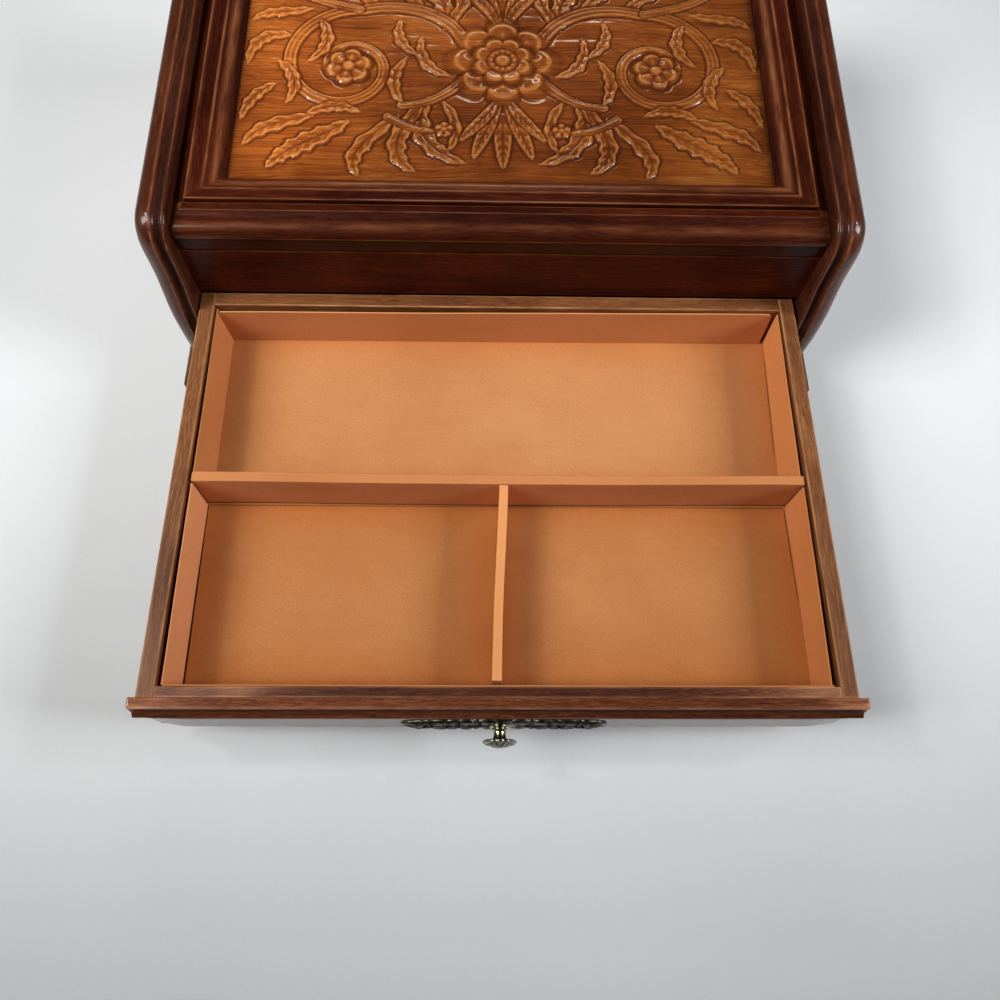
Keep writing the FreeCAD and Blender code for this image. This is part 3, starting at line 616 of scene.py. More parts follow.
# depth of the moulding below the outline, from the inner face outwards
mould = [(0.0, 1.05), (0.28, 0.62), (0.6, 0.28), (1.0, 0.10), (1.45, 0.10), (1.75, 0.40), (2.0, 0.95), (2.6, 1.32), (3.6, 1.42), (4.6, 1.20), (5.2, 0.72),
         (5.55, 0.22), (5.9, 0.02), (6.5, 0.0), (7.6, 0.14), (9.0, 0.55), (10.3, 1.25), (11.4, 2.2), (12.15, 3.2), (12.6, 4.3), (12.75, 5.4)]
mp = spline(mould, 4)
mp[:, 1] = np.maximum(mp[:, 1], 0.0)


def edge_wear_highlight_and_groove_shade(t):
    # lighter lines on the crest and the inner arris: wear with painted highlight; the groove between them is painted
    # darker, as shade
    w = 0.95 * np.exp(-((t - 6.05) / 0.55) ** 2) + 0.75 * np.exp(-((t - 1.2) / 0.34) ** 2) + 0.18 * np.exp(-((t - 9.5) / 2.2) ** 2)
    c = 0.62 * np.exp(-((t - 3.4) / 1.15) ** 2)
    return w, c


for side, sx, node in (("left", -1, "left_cheek"), ("right", 1, "right_cheek")):
    rings, wear_and_highlight, cav = [], [], []
    prof = [(0.0, 9.0), (0.0, 3.0)] + [tuple(q) for q in mp] + [(12.75, 7.5), (12.75, 14.0)]
    for t, d in prof:
        q = outline + inward * d
        q[0] = (outline[0][0] + d / max(inward[0][0], 0.5), 10.0)
        q[-1] = (92.5, outline[-1][1] - d / math.cos(SLOPE))
        # points that an inset would carry past the back edge stay on it
        q[:, 0] = np.minimum(q[:, 0], 92.5)
        q[:, 1] = np.maximum(q[:, 1], 10.0)
        loop = np.vstack([q, [(92.5, 50.0), (92.5, 10.0)]])
        x = sx * (INX + t)
        rings.append(np.column_stack([np.full(len(loop), x), loop]))
        w, c = edge_wear_highlight_and_groove_shade(np.array(t)) if 0 < t < 12.7 else (0.0, 0.0)
        ww = np.full(len(loop), float(w))
        # the nose is lightest: rubbed wear with painted highlight
        z = loop[:, 1]
        ww *= 0.75 + 0.45 * np.exp(-((z - 86) / 12.0) ** 2) * (loop[:, 0] < -55)
        wear_and_highlight.append(ww)
        cav.append(np.full(len(loop), float(c)))
        ww[-2:] = 0
    v, f = loft(rings)
    make(node, v, f, "case", "case_wood", M_CASE, [node], wear_and_highlight=np.concatenate(wear_and_highlight), cav=np.concatenate(cav), grain="y", angle=50, seed=11 + sx)

# ---- base board with a moulded edge
base_prof = [(0.5, 1.0), (0.15, 1.15), (0.0, 1.6), (0.0, 5.9), (0.12, 6.35), (0.45, 6.6), (0.75, 6.75), (0.85, 7.2), (1.0, 8.1), (1.4, 8.95), (2.1, 9.6), (3.0, 9.9), (4.2, 10.0)]
bp = spline(base_prof[2:], 3)
bp = np.vstack([base_prof[:2], bp])
bp[:, 0] = np.maximum(bp[:, 0], 0.0)
rings, wear_and_highlight, cav = [], [], []
for d, z in [(6.0, 1.0)] + [tuple(q) for q in bp] + [(8.0, 10.0)]:
    loop = rrect(141.2 - d, 94.5 - d, max(2.4 - 0.2 * d, 0.8), 8)
    rings.append(np.column_stack([loop, np.full(len(loop), min(z, 10.0))]))
    # the step's arris, the top edge and the foot are lighter (wear with painted highlight); the hollow just above the
    # step is painted darker, as shade
    wear_and_highlight.append(np.full(len(loop), 0.85 * math.exp(-((z - 6.25) / 0.35) ** 2) + 0.5 * math.exp(-((z - 9.5) / 0.4) ** 2) * (d < 4) + 0.35 * (z < 1.3) * (d < 1)))
    cav.append(np.full(len(loop), 0.8 * math.exp(-((z - 7.1) / 0.35) ** 2)))
v, f = loft(rings)
make("base_board", v, f, "case", "case_wood", M_CASE, ["base_board"], wear_and_highlight=np.concatenate(wear_and_highlight), cav=np.concatenate(cav), grain="x", angle=50)

# ---- felt under the base
rings = []
for d, z in ((0.5, 0.0), (0.12, 0.12), (0.0, 0.45), (0.1, 1.0)):
    loop = rrect(138 - d, 92 - d, 3.0, 6)
    rings.append(np.column_stack([loop, np.full(len(loop), z)]))
v, f = loft(rings)
make("felt_base_pad", v, f, "case", "base_felt", M_FELT, ["felt_base_pad"], angle=60)

# ---- carcase boards
board("front_rail", (-INX, -72.9, 47.2), (INX, -66.4, 73.0), "case", "case_wood", M_RAIL, r=0.6, grain="x")
board("back_panel", (-INX, 85.5, 10.0), (INX, 92.5, 83.7), "case", "case_wood", M_CASE, r=0.5, grain="x")
board("case_floor", (-INX, -81.4, 10.0), (INX, 85.5, 14.5), "case", "case_wood", M_RAIL, r=0.4, grain="x")
board("tray_board", (-INX, -66.4, 49.5), (INX, 85.5, 52.5), "case", "case_wood", M_RAIL, r=0.3, grain="x")
board("left_runner", (-INX, -81.0, 14.5), (-INX + 7.5, 84.0, 15.8), "case", "case_wood", M_RAIL, r=0.25, grain="y")
board("right_runner", (INX - 7.5, -81.0, 14.5), (INX, 84.0, 15.8), "case", "case_wood", M_RAIL, r=0.25, grain="y")

# ================================================================== lid
LIDP = dict(body="lid", slot="lid_wood")


def bevel_end(z):
    """How far out the lid reaches at height z: its ends are bevelled."""
    return np.where(z > 12.2, XI + (14.9 - np.maximum(z, 12.2)) / 2.7 * 4.4, 124.3)


# ---- nosing: flat with a step, a small bead, a soft round nose
run = [(-155.72, 8.3, 0), (-155.72, 12.88, 0), (-156.25, 12.95, 0.12), (-156.5, 13.78, 0.16), (-159.75, 13.9, 0.30), (-160.55, 13.28, 0.35), (-162.2, 12.82, 0.9)]
nose = spline([(-163.2, 12.80), (-164.6, 12.96), (-165.9, 12.78), (-167.0, 12.2), (-167.9, 11.3), (-168.6, 10.0), (-168.88, 8.8), (-168.72, 8.15)], 4)
low = [(-168.12, 7.85, 0.2), (-168.2, 7.0, 0.15), (-168.35, 1.4, 0.4), (-167.8, 0.8, 0.3), (-149.1, 0.8, 0.2), (-149.1, 8.3, 0)]
sec_pts = run + [(a, b, 0) for a, b in nose] + low
nsec, nwt = fillet(sec_pts, n=3, sup=0.3)
# the bead's front carries a lighter worn line and the round nose a little, both wear with painted highlight; the lower
# face is painted darker, as shade under the nose, and the arris between nose and lower face gets a bright line of
# painted highlight
for i, (a, b) in enumerate(nsec):
    if nwt[i] >= 0:
        nwt[i] = max(nwt[i] * 0.9, 0.34 * math.exp(-((a + 165.6) / 1.6) ** 2) * (b > 9) , 0.0)
        if a < -168.0 and b < 7.5:
            nwt[i] = -0.25
        if a < -168.0 and 7.6 < b < 9.4:
            nwt[i] = max(nwt[i], 1.0 * math.exp(-((b - 8.3) / 0.5) ** 2))
# split the section at the bevel's foot so that the ends are flat
def split_at(sec, wt, z0):
    o, w = [], []
    m = len(sec)
    for i in range(m):
        o.append(sec[i]); w.append(wt[i])
        a, b = sec[i], sec[(i + 1) % m]
        if (a[1] - z0) * (b[1] - z0) < -1e-9:
            t = (z0 - a[1]) / (b[1] - a[1])
            o.append(a + (b - a) * t); w.append(wt[i] * (1 - t) + wt[(i + 1) % m] * t)
    return np.array(o), np.array(w)


nsec, nwt = split_at(nsec, nwt, 12.2)
rings, ww = [], []
m = len(nsec)
sec_in = inset(nsec, 0.16)
for k, (sgn, dd, sc, w) in enumerate(((-1, 0.0, sec_in, 0.9), (-1, 0.2, nsec, 0.5), (-1, 1.2, nsec, 0.0), (1, 1.2, nsec, 0.0), (1, 0.2, nsec, 0.5), (1, 0.0, sec_in, 0.9))):
    x = sgn * (bevel_end(nsec[:, 1]) - dd)
    rings.append(np.column_stack([x, sc]))
    ww.append(np.where(nwt < 0, nwt, np.maximum(nwt, w * 0.7)))
v = np.vstack(rings)
_, f = loft(rings, caps=False)
hi_i = [i for i in range(m) if nsec[i, 1] >= 12.2 - 1e-6]
lo_i = [i for i in range(m) if nsec[i, 1] <= 12.2 + 1e-6]


def ordered(idx, m):
    """Cyclic order starting after the gap."""
    s = set(idx)
    for i in idx:
        if (i - 1) % m not in s:
            out, j = [], i
            while j in s and len(out) < len(idx):
                out.append(j)
                j = (j + 1) % m
            if len(out) == len(idx):
                return out
    return idx


hi_o, lo_o = ordered(hi_i, m), ordered(lo_i, m)
e = (len(rings) - 1) * m
f += [tuple(hi_o), tuple(lo_o), tuple(e + i for i in hi_o), tuple(e + i for i in lo_o)]
ww = np.concatenate(ww)
make("lid_front_rail", lid(v), f, "lid", "lid_wood", M_LID, ["lid_front_rail"], wear_and_highlight=np.clip(ww, 0, 1), cav=np.clip(-ww, 0, 1), grain="x", local=v, angle=45, seed=41)

# ---- back rail and stiles
ssec, swt = fillet([(YB, 8.3, 0), (YB, 15.15, 0.2), (-3.4, 15.2, 0.5), (-2.4, 14.2, 0.5), (-2.4, 0.8, 0.4), (-17.9, 0.8, 0.3), (-17.9, 8.3, 0)], n=3)
ssec, swt = split_at(ssec, swt, 12.2)
m = len(ssec)
rings, ww = [], []
for sgn, dd, sc, w in ((-1, 0.0, inset(ssec, 0.16), 0.9), (-1, 0.2, ssec, 0.5), (-1, 1.2, ssec, 0.0), (1, 1.2, ssec, 0.0), (1, 0.2, ssec, 0.5), (1, 0.0, inset(ssec, 0.16), 0.9)):
    x = sgn * (bevel_end(ssec[:, 1]) - dd)
    x = np.where(np.abs(x) < XI - 1, np.sign(x) * (XI - 1), x)
    rings.append(np.column_stack([x, sc]))
    ww.append(np.where(swt < 0, swt, np.maximum(swt, w * 0.6)))
v = np.vstack(rings)
_, f = loft(rings, caps=False)
hi_o = ordered([i for i in range(m) if ssec[i, 1] >= 12.2 - 1e-6], m)
lo_o = ordered([i for i in range(m) if ssec[i, 1] <= 12.2 + 1e-6], m)
e = (len(rings) - 1) * m
f += [tuple(hi_o), tuple(lo_o), tuple(e + i for i in hi_o), tuple(e + i for i in lo_o)]
ww = np.concatenate(ww)
make("lid_back_rail", lid(v), f, "lid", "lid_wood", M_LID, ["lid_back_rail"], wear_and_highlight=np.clip(ww, 0, 1), cav=np.clip(-ww, 0, 1), grain="x", local=v, angle=45, seed=42)

for side, sx in (("left", -1), ("right", 1)):
    sec, wt = fillet([(sx * XI, 8.3, 0), (sx * XI, 14.9, 0.12), (sx * 124.3, 12.2, 0.45), (sx * 124.3, 0.8, 0.3), (sx * XR, 0.8, 0.3), (sx * XR, 8.3, 0)], n=3)
    # upper part runs the whole length, the ledge stops at those of the rails
    rings, ww = [], []
    led = sec[:, 1] < 8.29
    for y_up, y_lo, sc in ((YF + 0.03, -149.07, inset(sec, 0.10)), (YF + 0.15, -148.95, sec), (YB - 0.15, -18.05, sec), (YB - 0.03, -17.93, inset(sec, 0.10))):
        rings.append(np.column_stack([sc[:, 0], np.full(len(sc), y_up), sc[:, 1]]))
        ww.append(wt)
    v = np.vstack(rings)
    _, f = loft(rings)
    make("lid_%s_stile" % side, lid(v), f, "lid", "lid_wood", M_LID, ["lid_%s_stile" % side], wear_and_highlight=np.clip(np.concatenate(ww), 0, 1) * 0.8,
         grain="y", local=v, angle=45, seed=43 + sx)

# ---- moulding round the panel: ogee up from the panel, arris, nearly flat band with a rolled outer edge
og = spline([(0.0, 11.15), (0.28, 11.72), (0.8, 12.42), (1.6, 13.15), (2.6, 13.74), (3.7, 14.08), (4.9, 14.22), (5.9, 14.30), (6.45, 14.46), (6.85, 14.74), (7.15, 15.06)], 3)
band = [(7.45, 15.19), (7.85, 15.19), (8.3, 15.10), (8.9, 15.05)]
paired = [(0.0, 0.0, 10.5, 0.0), (0.0, 0.0, 11.0, 0.0)]
for u, z in og:
    # weights: the ogee's middle and the arris are lighter, painted highlight with wear; the ogee's foot at the panel is
    # painted darker, as shade
    w = 0.62 * math.exp(-((u - 3.9) / 1.5) ** 2) + 0.9 * math.exp(-((u - 7.3) / 0.35) ** 2) - 0.5 * math.exp(-(u / 0.5) ** 2)
    paired.append((u, u, z, w))
for u, z in band:
    paired.append((u, u, z, 0.9 * math.exp(-((u - 7.55) / 0.35) ** 2)))
for q, z, w in ((0.30, 15.03, 0), (0.62, 15.04, 0), (0.80, 15.08, 0.1), (0.88, 15.14, 0.35), (0.94, 15.17, 0.8), (0.985, 15.12, 0.9), (1.0, 14.98, 0.5)):
    paired.append((8.9 + q * (13.7 - 8.9), 8.9 + q * (12.4 - 8.9), z, w))
paired += [(13.7, 12.4, 14.2, 0.0), (13.7, 12.4, 10.5, 0.0)]
pa = np.array(paired)
US, UF, UZ, UW = pa.T
GAP = 0.03
for name, grain in (("front", "x"), ("back", "x"), ("left", "y"), ("right", "y")):
    rings, ww = [], []
    ends = (-1, 1)
    for s in ends:
        for dd, wadd in ((0.0, 0.35), (0.35, 0.0)) if s < 0 else ((0.35, 0.0), (0.0, 0.35)):
            drop = 0.06 if dd == 0 else 0.0
            if name in ("front", "back"):
                x = s * (PX + US - GAP - dd)
                y = (PY0 - UF) if name == "front" else (PY1 + UF)
            else:
                x = (-1 if name == "left" else 1) * (PX + US)
                y = (PY0 - UF + GAP + dd) if s < 0 else (PY1 + UF - GAP - dd)
            z = UZ - drop * (UZ > 11)
            rings.append(np.column_stack([x * np.ones(len(UZ)), y * np.ones(len(UZ)), z]))
            ww.append(UW)
    v = np.vstack(rings)
    _, f = loft(rings)
    ww = np.concatenate(ww)
    make("lid_%s_bead" % name, lid(v), f, "lid", "lid_wood", M_LID, ["lid_%s_bead" % name], wear_and_highlight=np.clip(ww, 0, 1), cav=np.clip(-ww, 0, 1),
         grain=grain, local=v, angle=48, seed=50 + len(name))


# ---- relief panel: a rosette, scrolling leaves and a combed ground, pressed into the wood
def bez(p, n=26):
    p = np.array(p, float)
    t = np.linspace(0, 1, n)[:, None]
    return (1 - t) ** 3 * p[0] + 3 * (1 - t) ** 2 * t * p[1] + 3 * (1 - t) * t * t * p[2] + t ** 3 * p[3]


def curl(c, r0, r1, a0, turns, n=70):
    t = np.linspace(0, 1, n)
    a = np.radians(a0) + turns * 2 * math.pi * t
    r = r0 * (r1 / r0) ** t
    return np.stack([c[0] + r * np.cos(a), c[1] + r * np.sin(a)], 1)


def relief_panel():
    step = 0.46
    nx = int(round(2 * PX / step)) + 1
    ny = int(round((PY1 - PY0) / step)) + 1
    xs, ys = np.linspace(-PX, PX, nx), np.linspace(PY0, PY1, ny)
    cy = (PY0 + PY1) / 2
    X, Y = np.meshgrid(xs, ys)
    U, W = np.abs(X), Y - cy
    rs = np.random.RandomState(5)

    def field(pts, wid):
        """Smallest distance over width to a line of changing width, and the place along it."""
        pts = np.asarray(pts, float)
        wid = np.asarray(wid, float)
        best = np.full(U.shape, 9.0)
        side = np.zeros(U.shape)
        along = np.zeros(U.shape)
        lim = wid.max() * 1.7 + 1.0
        lo, hi = pts.min(0) - lim, pts.max(0) + lim
        j0, j1 = np.searchsorted(ys - cy, [lo[1], hi[1]])
        sub = (slice(max(j0, 0), min(j1, ny)), slice(None))
        mask = (U[sub] > lo[0]) & (U[sub] < hi[0])
        if not mask.any():
            return best, side, along
        pu, pw = U[sub][mask], W[sub][mask]
        b = np.full(pu.shape, 9.0)
        sd = np.zeros(pu.shape)
        al = np.zeros(pu.shape)
        m = len(pts)
        for i in range(m - 1):
            a, c = pts[i], pts[i + 1]
            d = c - a
            L = d @ d
            if L < 1e-9:
                continue
            t = np.clip(((pu - a[0]) * d[0] + (pw - a[1]) * d[1]) / L, 0, 1)
            ex, ey = pu - (a[0] + t * d[0]), pw - (a[1] + t * d[1])
            dist = np.hypot(ex, ey)
            w = wid[i] + (wid[i + 1] - wid[i]) * t
            q = dist / np.maximum(w, 0.05)
            k = q < b
            b[k] = q[k]
            sd[k] = np.sign(d[0] * ey[k] - d[1] * ex[k])
            al[k] = (i + t[k]) / (m - 1)
        tmp = best[sub]
        tmp[mask] = b
        best[sub] = tmp
        tmp = side[sub]
        tmp[mask] = sd
        side[sub] = tmp
        tmp = along[sub]
        tmp[mask] = al
        along[sub] = tmp
        return best, side, along

    # combed ground, its lines a little uneven
    H = 0.045 * np.sin(W * 2.9 + 1.2 * np.sin(X / 37.0) + 0.7 * np.sin(X / 13.0 + W / 9.0))
    H += 0.035 * np.sin(W * 1.13 + 1.9 * np.sin(X / 51.0 + 1.0) + 0.5 * np.sin(X / 17.0))
    H = H + 0.06
    H *= (0.55 + 0.45 * np.sin(X / 29.0 + W / 21.0)) * 0.10

    def lay(q, hm, soft=0.24):
        """Lays a motif over what is there, with a pressed groove round it."""
        nonlocal H
        groove = -0.26 * np.exp(-((q - 1.16) / 0.14) ** 2)
        k = 1 - ease((q - 1.0) / soft)
        H = H * (1 - k) + hm * k + groove * (q > 0.98)

    def leaf(p, w, lobes=0, lift=0.40, bend=0.0):
        pts = bez(p, 22)
        t = np.linspace(0, 1, len(pts))
        wid = w * np.sin(np.pi * np.clip(t * 0.97 + 0.03, 0, 1)) ** 0.62 * (1 - 0.25 * t) + 0.12
        q, sd, al = field(pts, wid)
        if lobes:
            q = q * (1 + 0.16 * np.cos(2 * np.pi * lobes * al + 0.6 * sd))
        body = lift * np.sqrt(np.clip(1 - q ** 2, 0, 1)) * 0.55 + 0.10
        body = body - 0.24 * np.exp(-(q / 0.13) ** 2) + 0.22 * np.exp(-((q - 0.88) / 0.12) ** 2)
        ribs = 0.05 * np.cos(2 * np.pi * (lobes or 6) * al * 1.5 - 5.0 * q) * (q < 0.9) * (q > 0.15)
        lay(q, body + ribs)

    def stem(pts, w0, w1, lift=0.46):
        t = np.linspace(0, 1, len(pts))
        wid = w0 + (w1 - w0) * t
        q, sd, al = field(pts, wid)
        body = lift * np.sqrt(np.clip(1 - q ** 2, 0, 1)) * 0.7 + 0.16 * np.exp(-((q - 0.86) / 0.13) ** 2)
        body = body - 0.20 * np.exp(-((q - 0.42) / 0.10) ** 2)
        lay(q, body)

    def flower(c, r, petals, phase=0.0, lift=0.5):
        dx, dy = U - c[0], W - c[1]
        rr, th = np.hypot(dx, dy), np.arctan2(dy, dx) + phase
        lobe = 0.80 + 0.20 * np.abs(np.cos(petals * th / 2)) ** 0.7
        q = rr / (r * lobe)
        cell = np.cos(petals * th)
        dome = np.sqrt(np.clip(1 - (q * 0.98) ** 2, 0, 1))
        body = lift * (0.35 + 0.65 * dome) * (0.72 + 0.28 * cell)
        body = body - 0.20 * np.exp(-((np.abs(np.cos(petals * th / 2))) / 0.12) ** 2) * (q > 0.32)
        body = body + 0.18 * np.exp(-((q - 0.92) / 0.09) ** 2)
        rb = rr / (r * 0.30)
        boss = 0.22 + 0.42 * np.sqrt(np.clip(1 - rb ** 2, 0, 1))
        kb = 1 - ease((rb - 0.9) / 0.2)
        body = body * (1 - kb) + boss * kb - 0.22 * np.exp(-((rb - 1.15) / 0.12) ** 2)
        lay(q, body)

    # outer sprays first, stems over them, flowers on top
    for p, w, l in (
        ([(30, -20), (38, -34), (30, -48), (14, -53)], 4.2, 5), ([(31, -22), (46, -40), (44, -52), (34, -57)], 3.8, 5),
        ([(42, -30), (58, -44), (62, -52), (56, -59)], 3.4, 4), ([(62, -33), (76, -43), (86, -46), (92, -56)], 4.6, 6),
        ([(76, -30), (90, -34), (98, -36), (102, -45)], 3.4, 4), ([(92, -14), (99, -18), (103, -24), (104, -33)], 2.6, 4),
        ([(24, 17), (22, 32), (30, 45), (44, 55)], 4.4, 6), ([(34, 27), (40, 40), (52, 47), (64, 50)], 3.6, 5),
        ([(52, 28), (60, 38), (70, 44), (80, 45)], 3.2, 4), ([(88, 12), (98, 14), (104, 8), (104, -4)], 3.0, 4),
        ([(80, 27), (92, 24), (100, 26), (104, 20)], 2.6, 4), ([(22, -8), (32, -6), (36, 4), (33, 13)], 2.6, 4),
        ([(23, 20), (14, 30), (14, 44), (20, 56)], 3.0, 4), ([(24, -22), (18, -30), (17, -40), (22, -47)], 2.4, 3),
    ):
        leaf(p, w, l)
    # palmettes above and below the rosette
    for s in (1, -1):
        for a, ln, w in ((0, 36, 3.8), (17, 33, 3.2), (33, 27, 2.7)):
            t = math.radians(a)
            p0 = (0.0 if a == 0 else 2.0, s * 19.0)
            p3 = (p0[0] + ln * math.sin(t), p0[1] + s * ln * math.cos(t))
            p1 = (p0[0] + 0.3 * ln * math.sin(t * 0.5), p0[1] + s * 0.38 * ln)
            p2 = (p0[0] + 0.75 * ln * math.sin(t * 1.2), p0[1] + s * 0.8 * ln * math.cos(t))
            leaf([p0, p1, p2, p3], w, 0)
    main = np.vstack([bez([(15, 9), (22, 26), (40, 32), (58, 27)], 26), curl((63, -4), 31.4, 7.4, 99, -1.42, 120)[1:]])
    stem(main, 2.9, 1.7)
    lower = np.vstack([bez([(16, -10), (22, -18), (30, -24), (41, -24)], 20)])
    stem(lower, 2.2, 1.7)
    upper = np.vstack([bez([(60, 27), (72, 30), (82, 33), (90, 40)], 20), curl((84.5, 44.5), 7.2, 2.2, -38, 1.25, 50)[1:]])
    stem(upper, 2.1, 1.1)
    tail = np.vstack([bez([(46, -30), (36, -37), (28, -39), (21, -34)], 20)])
    stem(tail, 1.9, 1.2)
    for p, w, l in (
        ([(76, 21), (70, 12), (72, 4), (80, -2)], 2.7, 4), ([(91, -2), (84, -8), (82, -16), (87, -24)], 2.7, 4),
        ([(78, -29), (70, -24), (64, -24), (57, -28)], 2.6, 4), ([(41, -22), (46, -14), (45, -6), (39, 1)], 2.6, 4),
        ([(36, 3), (43, 8), (45, 15), (42, 22)], 2.4, 4),
    ):
        leaf(p, w, l)
    flower((63, -4), 8.8, 6, 0.3)
    flower((84.0, 44.3), 4.0, 5, 0.2)
    flower((23.4, -36.0), 3.6, 5, 0.9)
    # central rosette: two rows of petals, a cord of beads and a boss
    rr, th = np.hypot(X, W), np.arctan2(W, X)
    flower((0, 0), 20.5, 8, 0.0, 0.5)
    q = rr / (11.8 * (0.84 + 0.16 * np.abs(np.cos(4 * th + math.pi / 2)) ** 0.7))
    body = 0.30 + 0.26 * np.sqrt(np.clip(1 - q ** 2, 0, 1)) - 0.20 * np.exp(-(np.abs(np.cos(4 * th + math.pi / 2)) / 0.14) ** 2) + 0.15 * np.exp(-((q - 0.9) / 0.1) ** 2)
    lay(q, body)
    q = rr / 5.6
    beads = 0.42 + 0.14 * np.cos(12 * th) * np.exp(-((q - 0.78) / 0.18) ** 2)
    lay(q, beads)
    q = rr / 3.1
    lay(q, 0.34 + 0.34 * np.sqrt(np.clip(1 - q ** 2, 0, 1)))

    # the press leaves the edges soft, and fades towards the frame
    fade = ease(np.minimum(PX - np.abs(X), np.minimum(Y - PY0, PY1 - Y)) / 1.2)
    H = H * (0.25 + 0.75 * fade)
    noise = rs.normal(0, 1, H.shape)
    fy, fx = np.fft.fftfreq(ny)[:, None], np.fft.fftfreq(nx)[None, :]

    def blur(a, s, t=None):
        t = s if t is None else t
        return np.real(np.fft.ifft2(np.fft.fft2(a) * np.exp(-2 * math.pi ** 2 * ((fx * s) ** 2 + (fy * t) ** 2))))

    H = blur(H, 0.42)
    H += 0.10 * blur(noise, 14, 2.2) * 4
    H = np.clip(H * 1.45, -0.5, 0.95)
    cav = (blur(H, 3.0) - H) / 0.24
    cav += (blur(H, 9.0) - H) / 1.3 * 0.4
    # tone: darker close to the frame, as painted shade under the moulding, and a little darker over a broader band;
    # painted light makes the left side up to 1.78 times lighter and the right side a little darker
    edge = np.minimum(PX - np.abs(X), np.minimum(Y - PY0, PY1 - Y))
    tone = 1.0 - 0.34 * np.exp(-edge / 4.5) - 0.12 * np.exp(-edge / 22.0)
    tone = tone * (1.0 + 0.78 * (1 - ease((X + 98.0) / 66.0))) * (1.0 - 0.16 * ease((X - 15.0) / 60.0))
    return xs, ys, H, np.clip(cav, -1, 1), tone


def build_panel():
    xs, ys, H, cav, tone = relief_panel()
    nx, ny = len(xs), len(ys)
    # a hidden margin under the moulding, then the board's sides and underside
    gx = np.concatenate([[-XI + 0.03], xs, [XI - 0.03]])
    gy = np.concatenate([[YF + 0.03], ys, [YB - 0.03]])
    Z = np.full((ny + 2, nx + 2), GROUND)
    Z[1:-1, 1:-1] = GROUND + H
    Z[1, :] = Z[-2, :] = GROUND
    Z[:, 1] = Z[:, -2] = GROUND
    C = np.zeros_like(Z)
    C[1:-1, 1:-1] = cav
    # the hidden margin and the board's sides are painted darker, as shade under the moulding
    T = np.full_like(Z, 0.6)
    T[1:-1, 1:-1] = tone
    X, Y = np.meshgrid(gx, gy)
    my, mx = Z.shape
    v = np.stack([X, Y, Z], -1).reshape(-1, 3)
    f = []
    idx = np.arange(my * mx).reshape(my, mx)
    a, b, c, d = idx[:-1, :-1].ravel(), idx[:-1, 1:].ravel(), idx[1:, 1:].ravel(), idx[1:, :-1].ravel()
    f = np.stack([a, b, c, d], 1).tolist()
    ring = list(idx[0, :]) + list(idx[1:, -1]) + list(idx[-1, ::-1][1:]) + list(idx[::-1, 0][1:-1])
    rv = v[ring].copy()
    rv[:, 2] = 8.3
    base = len(v)
    v = np.vstack([v, rv])
    n = len(ring)
    for i in range(n):
        j = (i + 1) % n
        f.append((ring[j], ring[i], base + i, base + j))
    f.append(tuple(base + i for i in range(n))[::-1])
    cav = np.concatenate([C.ravel(), np.zeros(n)])
    tone = np.concatenate([T.ravel(), np.full(n, 0.6)])
    make("carved_panel", lid(v), f, "lid", "carved_wood", M_PANEL, ["carved_panel"], cav=cav, tone=tone, grain="x", local=v, angle=80, seed=77,
         weighted=False, recalc=False)


build_panel()

board("lid_backing_board", (-XR + 0.1, -149.0, 6.1), (XR - 0.1, -18.0, 8.28), "lid", "lid_backing", M_HARD, r=0.2, to=lid)

# ================================================================== drawer
ix = 117.5
yf, bf1, bk0, rear = -238.9, -235.1, -78.5, -72.5
board("drawer_left_side", (DX - 123.5, yf, 16.2), (DX - ix, rear, 46.0), "drawer", "drawer_wood", M_BOX, r=0.5, grain="y", seed=201)
board("drawer_right_side", (DX + ix, yf, 16.2), (DX + 123.5, rear, 46.0), "drawer", "drawer_wood", M_BOX, r=0.5, grain="y", seed=202)
board("drawer_back", (DX - ix + 0.03, bk0, 16.2), (DX + ix - 0.03, rear, 46.0), "drawer", "drawer_wood", M_BOX, r=0.4, grain="x", seed=203)
board("drawer_box_front", (DX - ix + 0.03, yf, 16.2), (DX + ix - 0.03, bf1, 46.0), "drawer", "drawer_wood", M_EDGE, r=0.35, grain="x", seed=204)
board("drawer_bottom", (DX - ix + 0.05, bf1 + 0.05, 19.3), (DX + ix - 0.05, bk0 - 0.05, 22.8), "drawer", "drawer_wood", M_BOX, r=0.3, grain="x", seed=205)

# ---- moulded front board: lip and cove run straight through, the raised glossy field is rounded off at its ends
zc0, zc1 = 15.2, 46.3
LIPD, FLD = 3.9, 6.1
FX, HF = DX + 0.3, 126.0
cove = [(1.25, LIPD), (1.6, LIPD - 0.22), (2.05, LIPD - 0.72), (2.8, LIPD - 0.92), (3.7, LIPD - 0.62), (4.7, LIPD + 0.05), (5.8, LIPD + 0.85), (6.7, FLD - 0.32), (7.3, FLD - 0.04)]
cv = spline(cove, 4)


def retone(name, fn, wear_and_highlight=None):
    """Stain, rubbing, painted light and sheen that change along a finished piece: fn(x, y, z) in millimetres gives the
    tone.
    """
    me = made[name].data
    n = len(me.vertices)
    co = np.empty(n * 3)
    me.vertices.foreach_get("co", co)
    x, y, z = (co.reshape(-1, 3) * 1000.0).T
    at = me.attributes.get("tone") or me.attributes.new("tone", "FLOAT", "POINT")
    at.data.foreach_set("value", np.asarray(fn(x, y, z), np.float32) * np.ones(n, np.float32))
    if wear_and_highlight is not None:
        aw = me.attributes["wear_and_highlight"]
        w = np.empty(n, np.float32)
        aw.data.foreach_get("value", w)
        aw.data.foreach_set("value", np.clip(w + np.asarray(wear_and_highlight(x, y, z), np.float32), 0, 1).astype(np.float32))


